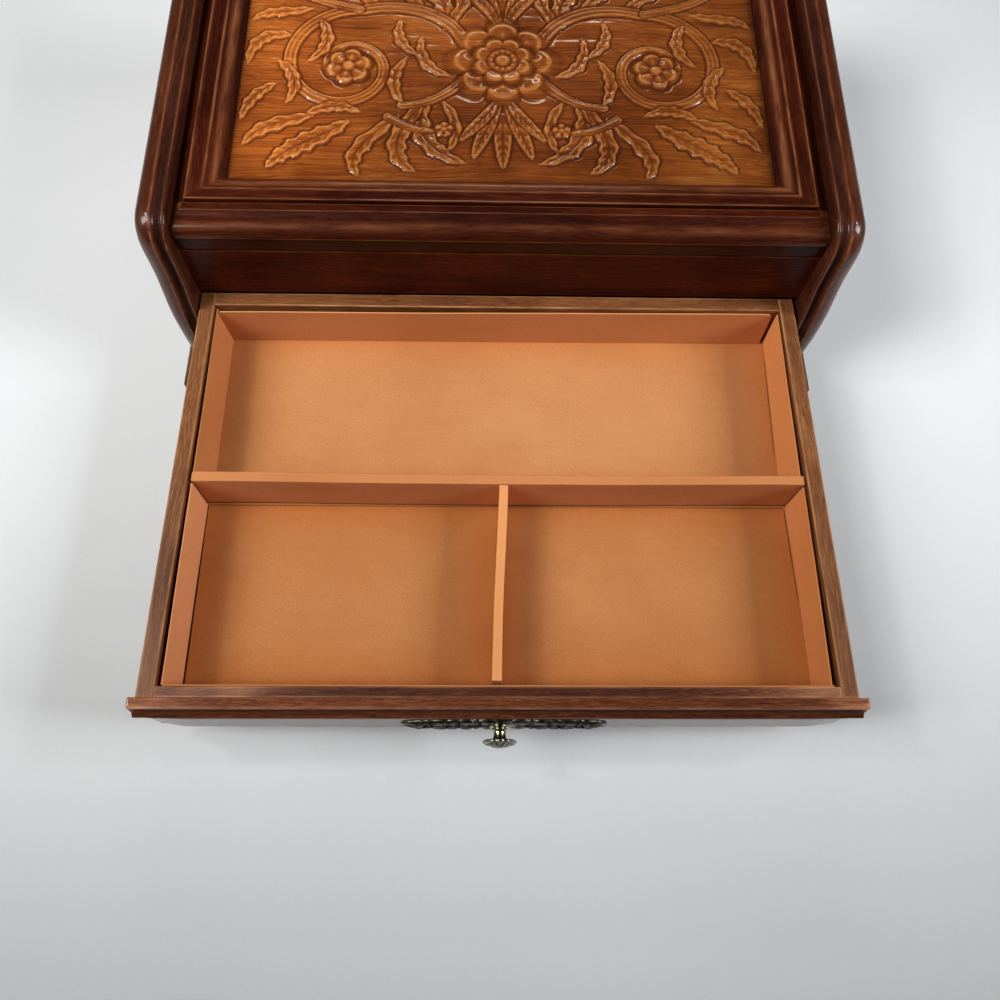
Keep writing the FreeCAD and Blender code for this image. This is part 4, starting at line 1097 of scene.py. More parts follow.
def paint_shade(name, fn):
    """Painted shade on a suede piece, darker and redder: fn(x, y, z) in millimetres gives 0 to 1."""
    me = made[name].data
    n = len(me.vertices)
    co = np.empty(n * 3)
    me.vertices.foreach_get("co", co)
    x, y, z = (co.reshape(-1, 3) * 1000.0).T
    at = me.attributes.new("painted_shade", "FLOAT", "POINT")
    at.data.foreach_set("value", np.clip(np.asarray(fn(x, y, z), np.float32) * np.ones(n, np.float32), 0, 1))


def cross_cuts(name, xs):
    """Points along a long straight piece, so that its tone, stain with painted sheen, can change on the way."""
    me = made[name].data
    bm = bmesh.new()
    bm.from_mesh(me)
    for x in xs:
        bmesh.ops.bisect_plane(bm, geom=bm.verts[:] + bm.edges[:] + bm.faces[:], dist=1e-7, plane_co=(x * 0.001, 0, 0), plane_no=(1, 0, 0))
    bm.to_mesh(me)
    bm.free()


def paler_ends(x, left, right, soft):
    """0 in the middle of the drawer, 1 at its corners, where the wood is painted paler: rubbed stain with painted
    sheen.
    """
    return 1 - ease((x - left) / soft) * ease((right - x) / soft)


def front_board():
    def half(up):
        """Depth below the top (or above the foot) and how far forward, with a weight: wear with painted highlight above
        0, painted shade below 0.
        """
        o = [(0.0, 0.22, 0.35), (0.0, 0.7, 0.0), (0.0, LIPD - 1.1, 0.05), (0.0, LIPD - 0.55, 0.35), (0.05, LIPD - 0.25, 0.7), (0.18, LIPD - 0.06, 0.6), (0.42, LIPD, 0.25), (0.8, LIPD, 0.3)]
        for e_, d_ in cv:
            # a bright line on the arris above the cove and a faint one at the field's edge (painted highlight with
            # wear); the cove is painted darker, as shade
            w = 1.0 * math.exp(-((e_ - 1.3) / 0.26) ** 2) - 1.0 * math.exp(-((e_ - 3.3) / 1.6) ** 2) + 0.3 * math.exp(-((e_ - 7.2) / 0.35) ** 2)
            o.append((e_, d_, w if up else w * 0.8))
        return o

    sec = [(zc1 - e_, d_, w) for e_, d_, w in half(True)]
    sec += [(z, FLD, 0.0) for z in np.linspace(zc1 - 8.2, zc0 + 8.2, 12)]
    sec += [(zc0 + e_, d_, w) for e_, d_, w in half(False)[::-1]]
    sec += [(zc0 + 0.22, 0.0, 0.2), (zc0 + 0.9, 0.0, 0.0), (zc1 - 0.9, 0.0, 0.0), (zc1 - 0.22, 0.0, 0.2)]
    Z, D, W = np.array(sec).T
    es = [0.0, 0.10, 0.25, 0.45, 0.7, 1.0, 1.4, 1.9, 2.5, 3.2, 4.0, 5.0, 6.0, 7.0, 8.0, 9.0, 10.0, 11.0, 12.0, 13.0, 14.0, 15.0, 16.0, 17.0, 18.5, 21.0]
    st = [(-1, e_) for e_ in es] + [(0, x) for x in np.linspace(-HF + 25, HF - 25, 40)] + [(1, e_) for e_ in es[::-1]]
    rings, wear_and_highlight = [], []
    for sgn, e_ in st:
        if sgn == 0:
            x, e_ = FX + e_, 25.0
        else:
            x = FX + sgn * (HF - e_)
        wide = (0.35 + 0.95 * ease((zc1 - 1.3 - Z) / 5.0)) * (min(abs(x - FX) / HF, 1.0) ** 30)
        plan = np.interp(e_, [0, 0.8, 1.5, 2.7, 4, 5.7, 7.5, 9.7, 12, 14.5, 17, 30], [2.55, 3.0, 3.32, 3.8, 4.22, 4.72, 5.12, 5.50, 5.80, 5.98, 6.1, 9.0])
        k = ease((40.3 - Z) / 1.3)
        lim = (1 - k) * 9.0 + k * plan
        r = 0.75
        rnd = r - math.sqrt(max(0.0, r * r - max(0.0, r - e_) ** 2))
        d = np.minimum(D, np.minimum(lim, LIPD - rnd * 1.2 if e_ < r else 9.0))
        z = np.clip(Z, zc0 + rnd * 0.5, zc1 - rnd * 0.5)
        d = np.maximum(d, np.where(D <= 0.0, 0.0, 0.0))
        # the board's face is not quite true
        z = z + np.where(D > 0.5, 0.05 * float(wobble(x, 71, 1.0, 40.0)), 0.0)
        z = np.clip(z, zc0, zc1)
        d = np.where((D > 5.9) & (d > 5.9), d - 0.05 * abs(float(wobble(x, 73, 1.0, 55.0))), d)
        rings.append(np.column_stack([x + np.sign(x - FX) * wide, yf - d, z]))
        w = W.copy()
        w = np.where(k > 0.5, np.where(plan < D - 0.02, np.minimum(np.abs(w), 0.12), w), w)
        # the ends of the lip are painted lighter, the right one most: wear with painted sheen
        if sgn and e_ < 1.5:
            rub = 1.0 if sgn > 0 else 0.55
            w = np.where((Z > zc1 - 1.8) & (D > LIPD - 2.2), np.maximum(w, rub * (1 - e_ / 1.5) ** 0.5), np.maximum(w, 0.5 * (e_ < 0.3)))
        wear_and_highlight.append(w)
    v, f = loft(rings)
    ww = np.concatenate(wear_and_highlight)
    make("drawer_front", v, f, "drawer", "drawer_wood", M_FRONT, ["drawer_front"], wear_and_highlight=np.clip(ww, 0, 1), cav=np.clip(-ww, 0, 1), grain="x", angle=48, seed=210)


front_board()


# the lip is painted lighter towards the left and at both ends, the face below lighter to the left and a little darker
# to the right: painted light and sheen, with rubbed stain at the corners
def lip_stain_and_painted_light(x, y, z):
    left, corner, right = ease((-x - 15) / 60), ease((-x - 98) / 20), ease((x - 106) / 12)
    return np.where(z > 42.3, 1.12 + 0.34 * left + 0.42 * corner + 0.68 * right, 1.0 + 0.25 * left - 0.15 * right)


# the lip's ends also get more wear and painted sheen
retone("drawer_front", lip_stain_and_painted_light, lambda x, y, z: 0.42 * paler_ends(x, -118, 121, 14) * (z > 42.3) * (y < yf - 0.5))
# the box front's top: dark in the middle, paler towards the ends, painted sheen with rubbed stain; its top edge gets
# more wear and painted sheen there
cross_cuts("drawer_box_front", np.linspace(-114, 112, 24))
retone("drawer_box_front", lambda x, y, z: 0.95 + 0.72 * paler_ends(x, -86, 100, 30), lambda x, y, z: 0.36 * paler_ends(x, -92, 104, 20) * (z > 45))


# ---- card linings covered in suede paper: thin sheets, not quite upright
def card(name, p0, p1, inner, z0, ztop, top, foot, th, body, slot, mat, node, seed, n=70, wob=0.05, rim=0.0, line=0.0, soft=(0.0, 0.0), hw=0.10):
    """A sheet along a wall from p0 to p1 (plan points on the wood's face), inner being the way into the box.
    top and foot give (share of the length, distance from the wood) for its outer face."""
    p0, p1, inner = np.array(p0, float), np.array(p1, float), np.array(inner, float)
    L = np.linalg.norm(p1 - p0)
    top, foot = np.array(top, float), np.array(foot, float)

    def flow(c, t):
        # linear between the given points, softened
        return np.mean([np.interp(t + d, c[:, 0], c[:, 1]) for d in (-0.06, -0.03, 0.0, 0.03, 0.06)])

    rings, wear_and_highlight, cav = [], [], []
    h = th / 2
    arc = [(1.0, 0.0), (0.92, 0.38), (0.7, 0.71), (0.38, 0.92), (0.0, 1.0), (-0.38, 0.92), (-0.7, 0.71), (-0.92, 0.38), (-1.0, 0.0)]
    lev = [0.0, 0.03, 0.08, 0.3, 0.55, 0.8, 0.95]
    ends = [0.0, 0.15, 0.4, 0.8, 1.4, 2.2]
    ss = np.unique(np.round(np.concatenate([ends, L - np.array(ends), np.linspace(3.2, L - 3.2, n)]), 4))
    for s in ss:
        t = s / L
        c = p0 + (p1 - p0) * t
        a = max(0.02, flow(top, t) + float(wobble(s, seed, wob, 26.0)))
        b = max(0.02, flow(foot, t) + float(wobble(s, seed + 2, wob, 31.0)))
        zt = ztop + float(wobble(s, seed + 1, hw, 40.0))
        for r_, q in ((soft[0], s), (soft[1], L - s)):
            if r_ > 0 and q < r_:
                zt -= r_ - math.sqrt(max(0.0, r_ * r_ - (r_ - q) ** 2))
        pts, wv, cw = [], [], []
        for q in lev:
            off = b + (a - b) * q ** 0.9
            pts.append((off + th, z0 + (zt - h - z0) * q))
            wv.append(0.0)
            cw.append(line if q < 0.05 else 0.0)
        for i, j in arc:
            pts.append((a + h + i * h, zt - h + j * h))
            wv.append(rim * max(0.0, j) ** 0.5)
            cw.append(0.0)
        # the sheet's outer face, facing the wood across the gap, is painted darker, as shade
        for q in lev[::-1]:
            off = b + (a - b) * q ** 0.9
            pts.append((off, z0 + (zt - h - z0) * q))
            wv.append(0.0)
            cw.append(0.25)
        pts = np.array(pts)
        rings.append(np.column_stack([c[0] + inner[0] * pts[:, 0], c[1] + inner[1] * pts[:, 0], pts[:, 1]]))
        wear_and_highlight.append(wv)
        cav.append(cw)
    v, f = loft(rings)
    return make(name, v, f, body, slot, mat, node, wear_and_highlight=np.concatenate(wear_and_highlight), cav=np.concatenate(cav), angle=55, seed=seed)


xl, xr_ = DX - ix, DX + ix
WALL = dict(th=0.6, body="drawer", slot="suede_lining", mat=M_WALL)
card("drawer_left_front_lining", (xl, -234.3), (xl, -158.75), (1, 0), 23.7, 44.4, [(0, 1.45), (0.5, 1.25), (1, 1.05)], [(0, 1.25), (0.5, 0.95), (1, 1.0)],
     node=["drawer_left_front_lining"], seed=301, **dict(WALL, mat=M_WALL_PAINTED_LIT_L))
card("drawer_left_rear_lining", (xl, -154.3), (xl, -79.3), (1, 0), 23.7, 44.4, [(0, 1.15), (0.45, 1.0), (0.85, 0.55), (1, 0.45)], [(0, 2.5), (0.4, 2.2), (1, 1.8)],
     node=["drawer_left_rear_lining"], seed=303, **WALL)
card("drawer_right_front_lining", (xr_, -234.3), (xr_, -158.75), (-1, 0), 23.7, 44.4, [(0, 2.1), (0.5, 1.35), (1, 0.9)], [(0, 1.6), (0.5, 1.1), (1, 1.5)],
     node=["drawer_right_front_lining"], seed=305, line=0.5, **dict(WALL, mat=M_WALL_PAINTED_LIT_R))
card("drawer_right_rear_lining", (xr_, -154.3), (xr_, -79.3), (-1, 0), 23.7, 44.4, [(0, 1.6), (0.5, 1.0), (0.85, 0.5), (1, 0.4)], [(0, 2.7), (0.5, 1.3), (1, 0.1)],
     node=["drawer_right_rear_lining"], seed=307, line=0.35, **dict(WALL, mat=M_WALL_PAINTED_LIT_R))
card("drawer_front_lining", (xl + 1.75, bf1), (xr_ - 1.4, bf1), (0, 1), 23.7, 44.9, [(0, 0.30), (0.5, 0.10), (1, 0.15)], [(0, 0.3), (1, 0.3)],
     node=["drawer_front_lining"], seed=309, rim=0.12, soft=(1.6, 0.6), **WALL)
card("drawer_back_lining", (xl + 1.25, bk0), (xr_ - 2.6, bk0), (0, -1), 23.7, 44.1, [(0, 1.9), (0.03, 1.6), (0.3, 1.45), (0.6, 0.85), (0.85, 0.3), (1, 0.1)],
     [(0, 1.75), (0.5, 1.55), (1, 1.25)], node=["drawer_back_lining"], seed=311, rim=0.8, soft=(1.2, 2.2), **WALL)


def divider(name, line, th, z0, zt, body, mat, node, seed, wob=0.06, n=80, foot=0.9, bare=(0.0, 0.0), top=0.55, r=0.45):
    """A covered partition: flat sides, a flat top with crisp edges. line is the run of its middle in plan, th its thickness there."""
    line = np.array(line, float)
    d = np.diff(line, axis=0)
    seg = np.concatenate([[0], np.cumsum(np.linalg.norm(d, axis=1))])
    L = seg[-1]
    ends = [0.0, 0.08, 0.2, 0.4, 0.7, 1.1, 1.7]
    ss = np.unique(np.round(np.concatenate([ends, L - np.array(ends), np.linspace(2.6, L - 2.6, n)]), 4))
    th = np.atleast_1d(np.array(th, float))
    rings, wear_and_highlight, cav = [], [], []

    def at(s):
        s = np.clip(s, 0, L)
        return np.array([np.interp(s, seg, line[:, 0]), np.interp(s, seg, line[:, 1])])

    for s in ss:
        c = np.mean([at(s + k) for k in (-6, -3, 0, 3, 6)], axis=0) if 6 < s < L - 6 else at(s)
        e = at(min(s + 3, L)) - at(max(s - 3, 0))
        e /= np.linalg.norm(e)
        nrm = np.array([-e[1], e[0]])
        c = c + nrm * float(wobble(s, seed, wob, 45.0))
        w = 0.5 * np.interp(s / L, np.linspace(0, 1, len(th)), th) if len(th) > 1 else th[0] / 2
        w *= 1 + 0.02 * float(wobble(s, seed + 5, 1.0, 18.0))
        q = min(s, L - s)
        rr = 0.4
        shr = rr - math.sqrt(max(0.0, rr * rr - max(0.0, rr - q) ** 2))
        zz = zt + float(wobble(s, seed + 2, 0.07, 30.0)) - shr * 0.8
        w = max(w - shr * 0.5, 0.3)
        red = max(bare[0] * (s < 0.25), bare[1] * (L - s < 0.25))
        pts, wv, cw = [], [], []
        for k in (0.0, 0.03, 0.08, 0.4, 0.8):
            pts.append((w, z0 + (zz - r - z0) * k))
            wv.append(0.0)
            cw.append(max(foot if k < 0.05 else 0.0, red))
        for a in np.linspace(0, math.pi / 2, 5):
            pts.append((w - r + r * math.cos(a), zz - r + r * math.sin(a)))
            wv.append(top * (0.5 + 0.5 * math.sin(a)))
            cw.append(red)
        for k in (0.5, 0.0, -0.5):
            pts.append(((w - r) * k, zz - 0.03))
            wv.append(top * 0.8)
            cw.append(red)
        for a in np.linspace(math.pi / 2, 0, 5):
            pts.append((-(w - r + r * math.cos(a)), zz - r + r * math.sin(a)))
            wv.append(top * (0.5 + 0.5 * math.sin(a)))
            cw.append(red)
        for k in (0.8, 0.4, 0.08, 0.03, 0.0):
            pts.append((-w, z0 + (zz - r - z0) * k))
            wv.append(0.0)
            cw.append(max(foot if k < 0.05 else 0.0, red))
        pts = np.array(pts)
        rings.append(np.column_stack([c[0] + nrm[0] * pts[:, 0], c[1] + nrm[1] * pts[:, 0], pts[:, 1]]))
        wear_and_highlight.append(wv)
        cav.append(cw)
    v, f = loft(rings)
    return make(name, v, f, body, "suede_lining", mat, node, wear_and_highlight=np.concatenate(wear_and_highlight), cav=np.concatenate(cav), angle=40, seed=seed)


divider("drawer_long_divider", [(xl + 0.9, -155.9), (-95, -155.95), (-38, -156.45), (34, -156.6), (80, -156.3), (104, -156.0), (xr_ - 0.5, -156.1)], [4.1, 4.0, 3.9, 3.8, 3.75], 23.8, 44.8,
        "drawer", M_WALL, ["drawer_long_divider"], 321, top=0.35)
divider("drawer_cross_divider", [(-1.95, -233.0), (-1.2, -204.0), (0.35, -173.0), (0.9, -158.7)], [3.5, 3.4, 3.45, 3.4], 23.8, 44.6,
        "drawer", M_WALL_PAINTED_LIT_R, ["drawer_cross_divider"], 331, bare=(0.45, 0.0), top=0.9)


def sheet_floor(name, xs, ys, z0, z1, body, mat, node, seed, amp=0.12, sink=None):
    """The suede sheet on the bottom, laid not quite flat; sink(x, y) gives how far it dips, and how dark it is there."""
    nx, ny = len(xs), len(ys)
    X, Y = np.meshgrid(xs, ys)
    r = np.random.RandomState(seed)
    Z = np.zeros_like(X)
    for _ in range(7):
        a = r.uniform(0, math.pi)
        k = r.uniform(0.02, 0.09)
        Z += np.sin((X * math.cos(a) + Y * math.sin(a)) * k * 2 + r.uniform(0, 6.28)) * r.uniform(0.4, 1)
    Z = z1 - amp + Z / 4.5 * amp * 0.8
    C = np.zeros_like(Z)
    if sink is not None:
        dz, C = sink(X, Y)
        Z = np.maximum(Z - dz, z0 + 0.02)
    v = np.stack([X, Y, Z], -1).reshape(-1, 3)
    idx = np.arange(nx * ny).reshape(ny, nx)
    f = np.stack([idx[:-1, :-1].ravel(), idx[:-1, 1:].ravel(), idx[1:, 1:].ravel(), idx[1:, :-1].ravel()], 1).tolist()
    ring = list(idx[0, :]) + list(idx[1:, -1]) + list(idx[-1, ::-1][1:]) + list(idx[::-1, 0][1:-1])
    rv = v[ring].copy()
    rv[:, 2] = z0
    base = len(v)
    v = np.vstack([v, rv])
    n = len(ring)
    f += [(ring[(i + 1) % n], ring[i], base + i, base + (i + 1) % n) for i in range(n)]
    f.append(tuple(base + i for i in range(n))[::-1])
    return make(name, v, f, body, "suede_lining", mat, node, cav=np.concatenate([C.ravel(), np.zeros(n)]), angle=60, seed=seed)


def seam(X, Y, x0, y0, x1, y1, w0, w1, depth, dark, fade=(0.0, 1.0)):
    """A thin open joint on the floor from one plan point to another, growing from w0 to w1 wide."""
    d = np.array([x1 - x0, y1 - y0])
    L2 = d @ d
    t = ((X - x0) * d[0] + (Y - y0) * d[1]) / L2
    k = np.clip(t, 0, 1)
    dist = np.hypot(X - (x0 + k * d[0]), Y - (y0 + k * d[1]))
    w = (w0 + (w1 - w0) * k) / 2
    m = 1 - ease((dist - w * 0.6) / np.maximum(w * 0.8, 0.05))
    m = m * ease((t - fade[0] + 0.05) / 0.05) * ease((fade[1] + 0.05 - t) / 0.05)
    return depth * m, dark * m


def drawer_seams(X, Y):
    a = seam(X, Y, xl + 1.75, -234.0, xl + 1.75, -159.6, 1.15, 0.35, 0.9, 1.0)
    b = seam(X, Y, -116.5, -158.85, 114.0, -158.85, 0.55, 0.55, 0.2, 0.6)
    c = seam(X, Y, xr_ - 2.15, -160.0, xr_ - 1.85, -196.0, 0.40, 0.25, 0.3, 0.8)
    d = seam(X, Y, xr_ - 1.0, -90.0, xr_ - 2.8, -134.0, 0.35, 0.25, 0.3, 0.7)
    e = seam(X, Y, -3.7, -232.0, -1.0, -162.0, 0.3, 0.2, 0.1, 0.35)
    return np.maximum.reduce([a[0], b[0], c[0], d[0], e[0]]), np.maximum.reduce([a[1], b[1], c[1], d[1], e[1]])


fx_ = np.unique(np.round(np.concatenate([np.linspace(xl + 0.05, xr_ - 0.05, 60), np.linspace(xl + 0.3, xl + 3.2, 24), np.linspace(xr_ - 4.2, xr_ - 0.5, 30), np.linspace(-4.6, -0.2, 24)]), 3))
fy_ = np.unique(np.round(np.concatenate([np.linspace(bf1 + 0.05, bk0 - 0.05, 56), np.linspace(-160.1, -158.4, 16)]), 3))
sheet_floor("drawer_floor_lining", fx_, fy_, 22.82, 24.0, "drawer", M_FLOOR, ["drawer_floor_lining"], 331, sink=drawer_seams)



# painted shade along the drawer's walls and dividers, fading over about 14 mm, and a little over the whole front
# compartments
def shade_along_walls(x, y, z):
    d = np.minimum.reduce([x - xl, xr_ - x, bk0 - y, y - bf1, np.abs(y + 158.2) + 0.5])
    d = np.where(y < -158.2, np.minimum(d, np.abs(x + 2.4) + 1.5), d)
    return np.exp(-np.clip(d, 0, None) / 14.0) + 0.28 * ease((-156.0 - y) / 6.0)


paint_shade("drawer_floor_lining", shade_along_walls)

# ================================================================== upper compartment
ry1, by0 = -66.4, 85.5
sheet_floor("tray_floor_lining", np.linspace(-INX + 0.05, INX - 0.05, 60), np.linspace(ry1 + 0.05, by0 - 0.05, 44), 52.52, 53.3, "case", M_TRAY, ["tray_floor_lining"], 341, amp=0.10)


def lid_under(y):
    return HINGE_Z + (y - HINGE_Y) * math.tan(SLOPE) + 0.8 / math.cos(SLOPE)


def tray_side(name, x, inner, node, seed):
    rings, wear_and_highlight, cav = [], [], []
    n = 50
    for k in range(n):
        t = k / (n - 1)
        y = ry1 + 1.05 + (by0 - ry1 - 2.1) * t
        zt = lid_under(y) - 1.2 + float(wobble(y, seed, 0.12, 40.0))
        lean = 0.12 + abs(float(wobble(y, seed + 3, 0.2, 30.0)))
        w = 0.42
        pts, wv = [], []
        for q in (0.0, 0.5, 0.95):
            pts.append((0.05 + lean * q + 2 * w, 53.2 + (zt - w - 53.2) * q)); wv.append(0.0)
        for a in np.linspace(0, math.pi, 9):
            pts.append((0.05 + lean + w + w * math.cos(a), zt - w + w * math.sin(a))); wv.append(0.8 * math.sin(a))
        for q in (0.95, 0.5, 0.0):
            pts.append((0.05 + lean * q * 0.5, 53.2 + (zt - w - 53.2) * q)); wv.append(0.0)
        pts = np.array(pts)
        rings.append(np.column_stack([x + inner * pts[:, 0], np.full(len(pts), y), pts[:, 1]]))
        wear_and_highlight.append(wv)
    v, f = loft(rings)
    make(name, v, f, "case", "suede_lining", M_TRAY, [node], wear_and_highlight=np.concatenate(wear_and_highlight), angle=60, seed=seed)


tray_side("tray_left_lining", -INX, 1, "tray_left_lining", 351)
tray_side("tray_right_lining", INX, -1, "tray_right_lining", 353)
TRAY = dict(th=0.85, body="case", slot="suede_lining", mat=M_TRAY, wob=0.03, rim=0.6)
card("tray_front_lining", (-INX + 0.1, ry1), (INX - 0.1, ry1), (0, 1), 53.2, 72.3, [(0, 0.08), (1, 0.08)], [(0, 0.08), (1, 0.08)], node=["tray_front_lining"], seed=355, **TRAY)
card("tray_back_lining", (-INX + 0.1, by0), (INX - 0.1, by0), (0, -1), 53.2, 82.6, [(0, 0.08), (1, 0.08)], [(0, 0.08), (1, 0.08)], node=["tray_back_lining"], seed=357, **TRAY)
divider("tray_long_divider", [(-INX + 1.1, 11.8), (0, 11.7), (INX - 1.1, 11.8)], 3.4, 53.2, 70.0, "case", M_TRAY, ["tray_long_divider"], 361)
divider("tray_cross_divider", [(0.0, ry1 + 1.1), (0.2, 9.95)], 3.4, 53.2, 69.9, "case", M_TRAY, ["tray_cross_divider"], 365)

# ---- the lid's lining: suede sheet glued on the backing board, its edge turned
lx, ly0, ly1 = XR - 0.2, -148.9, -18.1
rings, ww = [], []
for d, z in ((0.25, 6.08), (0.0, 5.85), (0.0, 5.1), (0.35, 4.72), (1.4, 4.62), (6.0, 4.66)):
    lp = rrect(lx - d, (ly1 - ly0) / 2 - d, 1.5, 6, 0.0, (ly0 + ly1) / 2)
    rings.append(np.column_stack([lp, np.full(len(lp), z)]))
    ww.append(np.full(len(lp), 0.4 if z < 5.2 and d < 1 else 0.0))
v, f = loft(rings)
make("lid_lining", lid(v), f, "lid", "suede_lining", M_TRAY, ["lid_lining"], wear_and_highlight=np.concatenate(ww), angle=60, local=v)


# ================================================================== pull
KZ = 30.8
PLX = DX + 1.5                             # middle of the plate
face = yf - FLD


def plate():
    """Cast plate: lobed outline, a row of scrolled leaves along each long edge, raised middle."""
    nt, nr = 560, 42
    T = np.linspace(0, 2 * math.pi, nt, endpoint=False)
    leaves = [(5.6, 2.4, 0.85), (9.6, 1.3, 0.62), (13.6, 2.4, 0.95), (18.0, 2.0, 0.88), (22.8, 2.8, 1.0), (27.0, 1.3, 0.7), (30.6, 2.5, 0.98), (34.6, 1.7, 0.72)]

    def out(t):
        ex = 37.0 * np.sign(np.cos(t)) * np.abs(np.cos(t)) ** 0.75
        ez = 8.0 * np.sign(np.sin(t)) * np.abs(np.sin(t)) ** 0.75
        scal = np.zeros_like(t)
        for c, w, _ in leaves:
            scal = np.maximum(scal, 1 - ((np.abs(ex) - c) / w) ** 2)
        r = 0.93 + 0.07 * np.clip(scal, 0, 1) ** 0.5
        return ex * (0.985 + 0.0 * r), ez * r

    ox, oz = out(T)
    rings, wear_and_highlight, cav = [], [], []

    def height(s, t, x, z):
        h = 0.50 + 0 * s
        lit = 0 * s
        for i, (c, w, a) in enumerate(leaves):
            tilt = 0.22 * (1 if i % 2 else -1)
            for zc in (4.3, -4.3):
                dx_ = (np.abs(x) - c - tilt * (z - zc) * np.sign(zc)) / w
                dz_ = (z - zc) / 3.3
                q = np.sqrt(dx_ ** 2 + dz_ ** 2)
                dome = a * np.sqrt(np.clip(1 - q ** 2, 0, 1))
                roll = 0.20 * np.exp(-((q - 0.80) / 0.12) ** 2) - 0.30 * np.exp(-((q - 0.52) / 0.13) ** 2) + 0.12 * np.exp(-(q / 0.25) ** 2)
                h = np.maximum(h, 0.50 + dome + roll * (q < 1.05))
                lit = np.maximum(lit, 0.9 * np.exp(-((q - 0.82) / 0.055) ** 2) + 0.35 * np.exp(-(q / 0.16) ** 2))
        rib = 0.28 * np.exp(-(z / 0.9) ** 2) * (0.7 + 0.3 * np.cos(x * 2.6)) * (np.abs(x) < 35)
        h = h + rib
        mid = np.exp(-((x / 5.2) ** 2 + (z / 5.0) ** 2) ** 2)
        h = np.maximum(h, 0.55 + 0.6 * mid)
        return h, lit

    ss = [1.0, 1.0, 0.985, 0.96] + list(np.linspace(0.94, 0.04, nr))
    for i, s in enumerate(ss):
        x, z = ox * s, oz * s
        h, lit = height(np.full(nt, s), T, x, z)
        edge = [0.0, 0.30, 0.5, 0.62][i] if i < 4 else None
        hh = np.maximum(np.full(nt, edge), np.minimum(h, edge + 0.25) * (i > 1)) if edge is not None else h
        hh = np.clip(hh, 0.0, 1.66)
        rings.append(np.column_stack([PLX + x, face - hh, KZ + z]))
        wear_and_highlight.append(np.clip(0.62 * lit * (hh > 0.7) + 0.04 * np.clip((hh - 1.2) / 0.4, 0, 1), 0, 1) if edge is None else np.full(nt, 0.35 if i in (1, 2) else 0.0))
        cav.append(np.clip(0.55 + (0.95 - hh) / 0.5, 0, 1) * (1 - 0.9 * np.clip(lit, 0, 1)) if edge is None else np.full(nt, 0.6))
    v = np.vstack(rings)
    _, f = loft(rings)
    make("pull_backplate", v, f, "drawer", "antique_brass", M_PLATE, ["pull_backplate"], wear_and_highlight=np.concatenate(wear_and_highlight), cav=np.concatenate(cav), angle=60, weighted=False)


plate()


def lathe_y(name, prof, mat, node, nseg=72, petals=0, amp=0.0, where=None, slot="antique_brass", angle=50):
    """Turned about the pull's axis: (radius, distance out from the plate's face)."""
    T = np.linspace(0, 2 * math.pi, nseg, endpoint=False)
    rings, wear_and_highlight, cav = [], [], []
    for r, out_, w, c in prof:
        k = 1.0
        rr = np.full(nseg, r)
        if petals and where(r, out_):
            s = np.abs(np.cos(petals * T / 2))
            rr = r * (1 - amp + amp * s ** 0.7)
            c_ = np.clip(1 - s / 0.45, 0, 1) * 0.9
        else:
            c_ = np.zeros(nseg)
        rings.append(np.column_stack([DX + rr * np.cos(T), np.full(nseg, face - 0.9 - out_), KZ + rr * np.sin(T)]))
        wear_and_highlight.append(np.full(nseg, w))
        cav.append(np.clip(c + c_, 0, 1))
    v, f = loft(rings)
    make(name, v, f, "drawer", slot, mat, node, wear_and_highlight=np.concatenate(wear_and_highlight), cav=np.concatenate(cav), angle=angle)


END = 7.7                     # from there to the end of the knob
stem_prof = [(3.6, 0.0, .2, .3), (3.6, 0.35, .6, 0), (3.4, 0.6, .7, 0), (2.7, 0.8, .2, .6), (2.55, 1.05, .5, 0), (2.65, 1.35, .8, 0), (2.45, 1.7, .5, .1), (2.25, 2.1, .4, .2),
             (2.15, 2.9, .6, 0), (2.2, 3.7, .6, 0), (2.35, 4.3, .6, 0), (2.5, 4.75, .5, .1), (2.5, 5.25, .2, .5)]
sp = spline([(a, b) for a, b, _, _ in stem_prof], 3)
stem_list = [(r, o, 0.6, 0.0) for r, o in sp]
head = [(1.6, 4.9), (2.6, 5.0), (4.0, 4.95), (5.2, 5.05), (5.85, 5.35), (6.0, 5.75), (5.8, 6.15), (5.2, 6.5), (4.9, 6.62), (4.6, 6.55), (4.3, 6.6), (3.4, 7.1), (2.2, 7.5), (1.0, 7.68), (0.25, 7.70)]
hp = spline(head, 4)
head_list = []
for r, o in hp:
    # the knob's rim and crown are lighter: rubbed metal with painted highlight
    w = 0.9 * math.exp(-((r - 5.8) / 0.5) ** 2) + 0.45 * math.exp(-(r / 2.2) ** 2) * (o > 6)
    c = 0.9 * math.exp(-((r - 4.55) / 0.35) ** 2) * (o > 6) + (0.35 if o < 5.2 else 0)
    head_list.append((r, o, w, c))
lathe_y("pull_knob", stem_list + head_list, M_BRASS, ["pull_knob"], petals=12, amp=0.07, where=lambda r, o: o > 4.85 and r > 2.4)
# the stem keeps its bright metal
kn = made["pull_knob"]
kn.data.materials.append(M_STEM)
lim = (face - 0.9 - 4.9) * 0.001
for p in kn.data.polygons:
    if p.center.y > lim and math.hypot(p.center.x - DX * 0.001, p.center.z - KZ * 0.001) < 0.00405:
        p.material_index = 1

